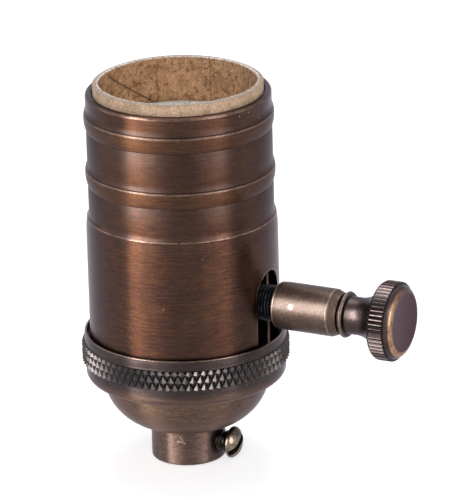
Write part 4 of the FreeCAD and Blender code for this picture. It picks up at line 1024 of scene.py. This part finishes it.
strip_brass = plain_metal("rolled_brass", (0.62, 0.42, 0.16, 1), 0.34)
spring_bronze = plain_metal("spring_bronze", (0.60, 0.34, 0.18, 1), 0.32)
screw_brass = plain_metal("turned_brass", (0.66, 0.46, 0.17, 1), 0.3)
nickel = plain_metal("nickel_plate", (0.60, 0.57, 0.52, 1), 0.26)
steel = plain_metal("plain_steel", (0.42, 0.41, 0.40, 1), 0.36)
inner_finishes = {
    "cap_disc": pressed_fibre(),
    "upper_insulator": phenolic("insulator_phenolic", (0.016, 0.014, 0.013, 1)),
    "rotor": phenolic("rotor_phenolic", (0.03, 0.028, 0.026, 1)),
    "assembly_rivets": steel,
    "spindle": steel,
    "spindle_clip": steel,
    "contact_tongue": spring_bronze,
    "tongue_rivet": screw_brass,
    "lamp_contact": strip_brass,
    "line_contact": strip_brass,
    "neutral_strap": strip_brass,
    "rotor_band": strip_brass,
    "line_screw": screw_brass,
    "neutral_screw": nickel,
}
for node, material in inner_finishes.items():
    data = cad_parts[node].data
    data.materials.clear()
    data.materials.append(material)

# Floor and light: a pale sweep with soft light from both sides and above, as for a catalogue.
FLOOR_COLOUR = (0.86, 0.86, 0.86, 1)


def seen_share(finish):
    """1 for rays from the camera, mirrors and glass, 0 for the light that the scene sheds."""
    path = finish.node("ShaderNodeLightPath", {}, [])
    glossy = path.part("Is Glossy Ray").maths("MAXIMUM", path.part("Is Transmission Ray"))
    return path.part("Is Camera Ray").maths("MAXIMUM", glossy)


floor_mesh = bmesh.new()
bmesh.ops.create_circle(floor_mesh, cap_ends=True, segments=96, radius=4.0)
floor = as_object("floor", floor_mesh)
floor_finish = Finish("pale_floor", Roughness=0.9, Specular_IOR_Level=0.1, Emission_Strength=0.66)
floor_seen = seen_share(floor_finish)
floor_finish.show(Base_Color=floor_finish.mix(floor_seen, FLOOR_COLOUR, (0.6, 0.6, 0.6, 1)),
                  Emission_Color=floor_finish.mix(floor_seen, (0, 0, 0, 1), (1, 1, 1, 1)))
floor.data.materials.append(floor_finish.material)
floor.location.z = -0.0002

world = bpy.data.worlds.new("studio")
bpy.context.scene.world = world
world.use_nodes = True
backdrop = world.node_tree.nodes["Background"]
backdrop.inputs["Color"].default_value = (1, 1, 1, 1)
world_path = world.node_tree.nodes.new("ShaderNodeLightPath")
either = world.node_tree.nodes.new("ShaderNodeMath")
either.operation = "MAXIMUM"
world.node_tree.links.new(world_path.outputs["Is Camera Ray"], either.inputs[0])
world.node_tree.links.new(world_path.outputs["Is Glossy Ray"], either.inputs[1])
strength = world.node_tree.nodes.new("ShaderNodeMapRange")
strength.inputs["To Min"].default_value = 0.45
strength.inputs["To Max"].default_value = 1.0
world.node_tree.links.new(either.outputs[0], strength.inputs["Value"])
world.node_tree.links.new(strength.outputs[0], backdrop.inputs["Strength"])

# Camera: the photograph's place, height and lean, turned so that the knob points away to the right.
TARGET = Vector((0, 0, 0.037))
CAMERA_PLACE = Vector((0.4256, -0.8246, 0.3770))
CAMERA_TURN = 26.728
CAMERA_DROP = 19.89
CAMERA_LEAN = -1.58
camera_data = bpy.data.cameras.new("camera")
camera_data.sensor_width = 36
camera_data.lens = 372.6
camera_data.clip_start = 0.05
camera_data.clip_end = 50
camera = bpy.data.objects.new("camera", camera_data)
camera.matrix_world = (
    Matrix.Translation(CAMERA_PLACE)
    @ Matrix.Rotation(math.radians(CAMERA_TURN), 4, "Z")
    @ Matrix.Rotation(math.radians(90 - CAMERA_DROP), 4, "X")
    @ Matrix.Rotation(math.radians(CAMERA_LEAN), 4, "Z")
)
bpy.context.scene.collection.objects.link(camera)
bpy.context.scene.camera = camera

# Softboxes stand either side of the camera, brighter at their outer edges, and one hangs above.
for name, turn, lift, distance, width, height, watts in (
    ("left_edge_softbox", -58.5, 16, 1.4, 0.38, 1.36, 40.0),
    ("left_fill_softbox", -42, 16, 1.4, 0.50, 1.36, 19.4),
    ("left_inner_softbox", -25, 16, 1.4, 0.32, 1.36, 3.6),
    ("right_edge_softbox", 50, 16, 1.4, 0.38, 1.36, 13.8),
    ("right_fill_softbox", 33, 16, 1.4, 0.45, 1.36, 5.5),
    ("top_softbox", 180, 70, 0.8, 0.5, 0.5, 3.0),
    ("front_softbox", 0, 28, 1.4, 0.60, 0.60, 7.2),
    ("left_rim_softbox", -98, 16, 1.4, 0.80, 1.36, 4.5),
    ("right_rim_softbox", 88, 16, 1.4, 0.60, 1.36, 2.0),
):
    lamp_data = bpy.data.lights.new(name, "AREA")
    lamp_data.shape = "RECTANGLE"
    lamp_data.size = width
    lamp_data.size_y = height
    lamp_data.energy = watts
    lamp = bpy.data.objects.new(name, lamp_data)
    bearing = math.radians(CAMERA_TURN + turn)
    rise = math.radians(lift)
    out = Vector((math.sin(bearing) * math.cos(rise), -math.cos(bearing) * math.cos(rise), math.sin(rise)))
    lamp.location = TARGET + out * distance
    lamp.rotation_euler = out.to_track_quat("Z", "Y").to_euler()
    lamp.visible_diffuse = name.startswith(("front", "top"))
    lamp.visible_glossy = not name.startswith("front")
    bpy.context.scene.collection.objects.link(lamp)

bpy.context.scene.view_settings.view_transform = "Standard"
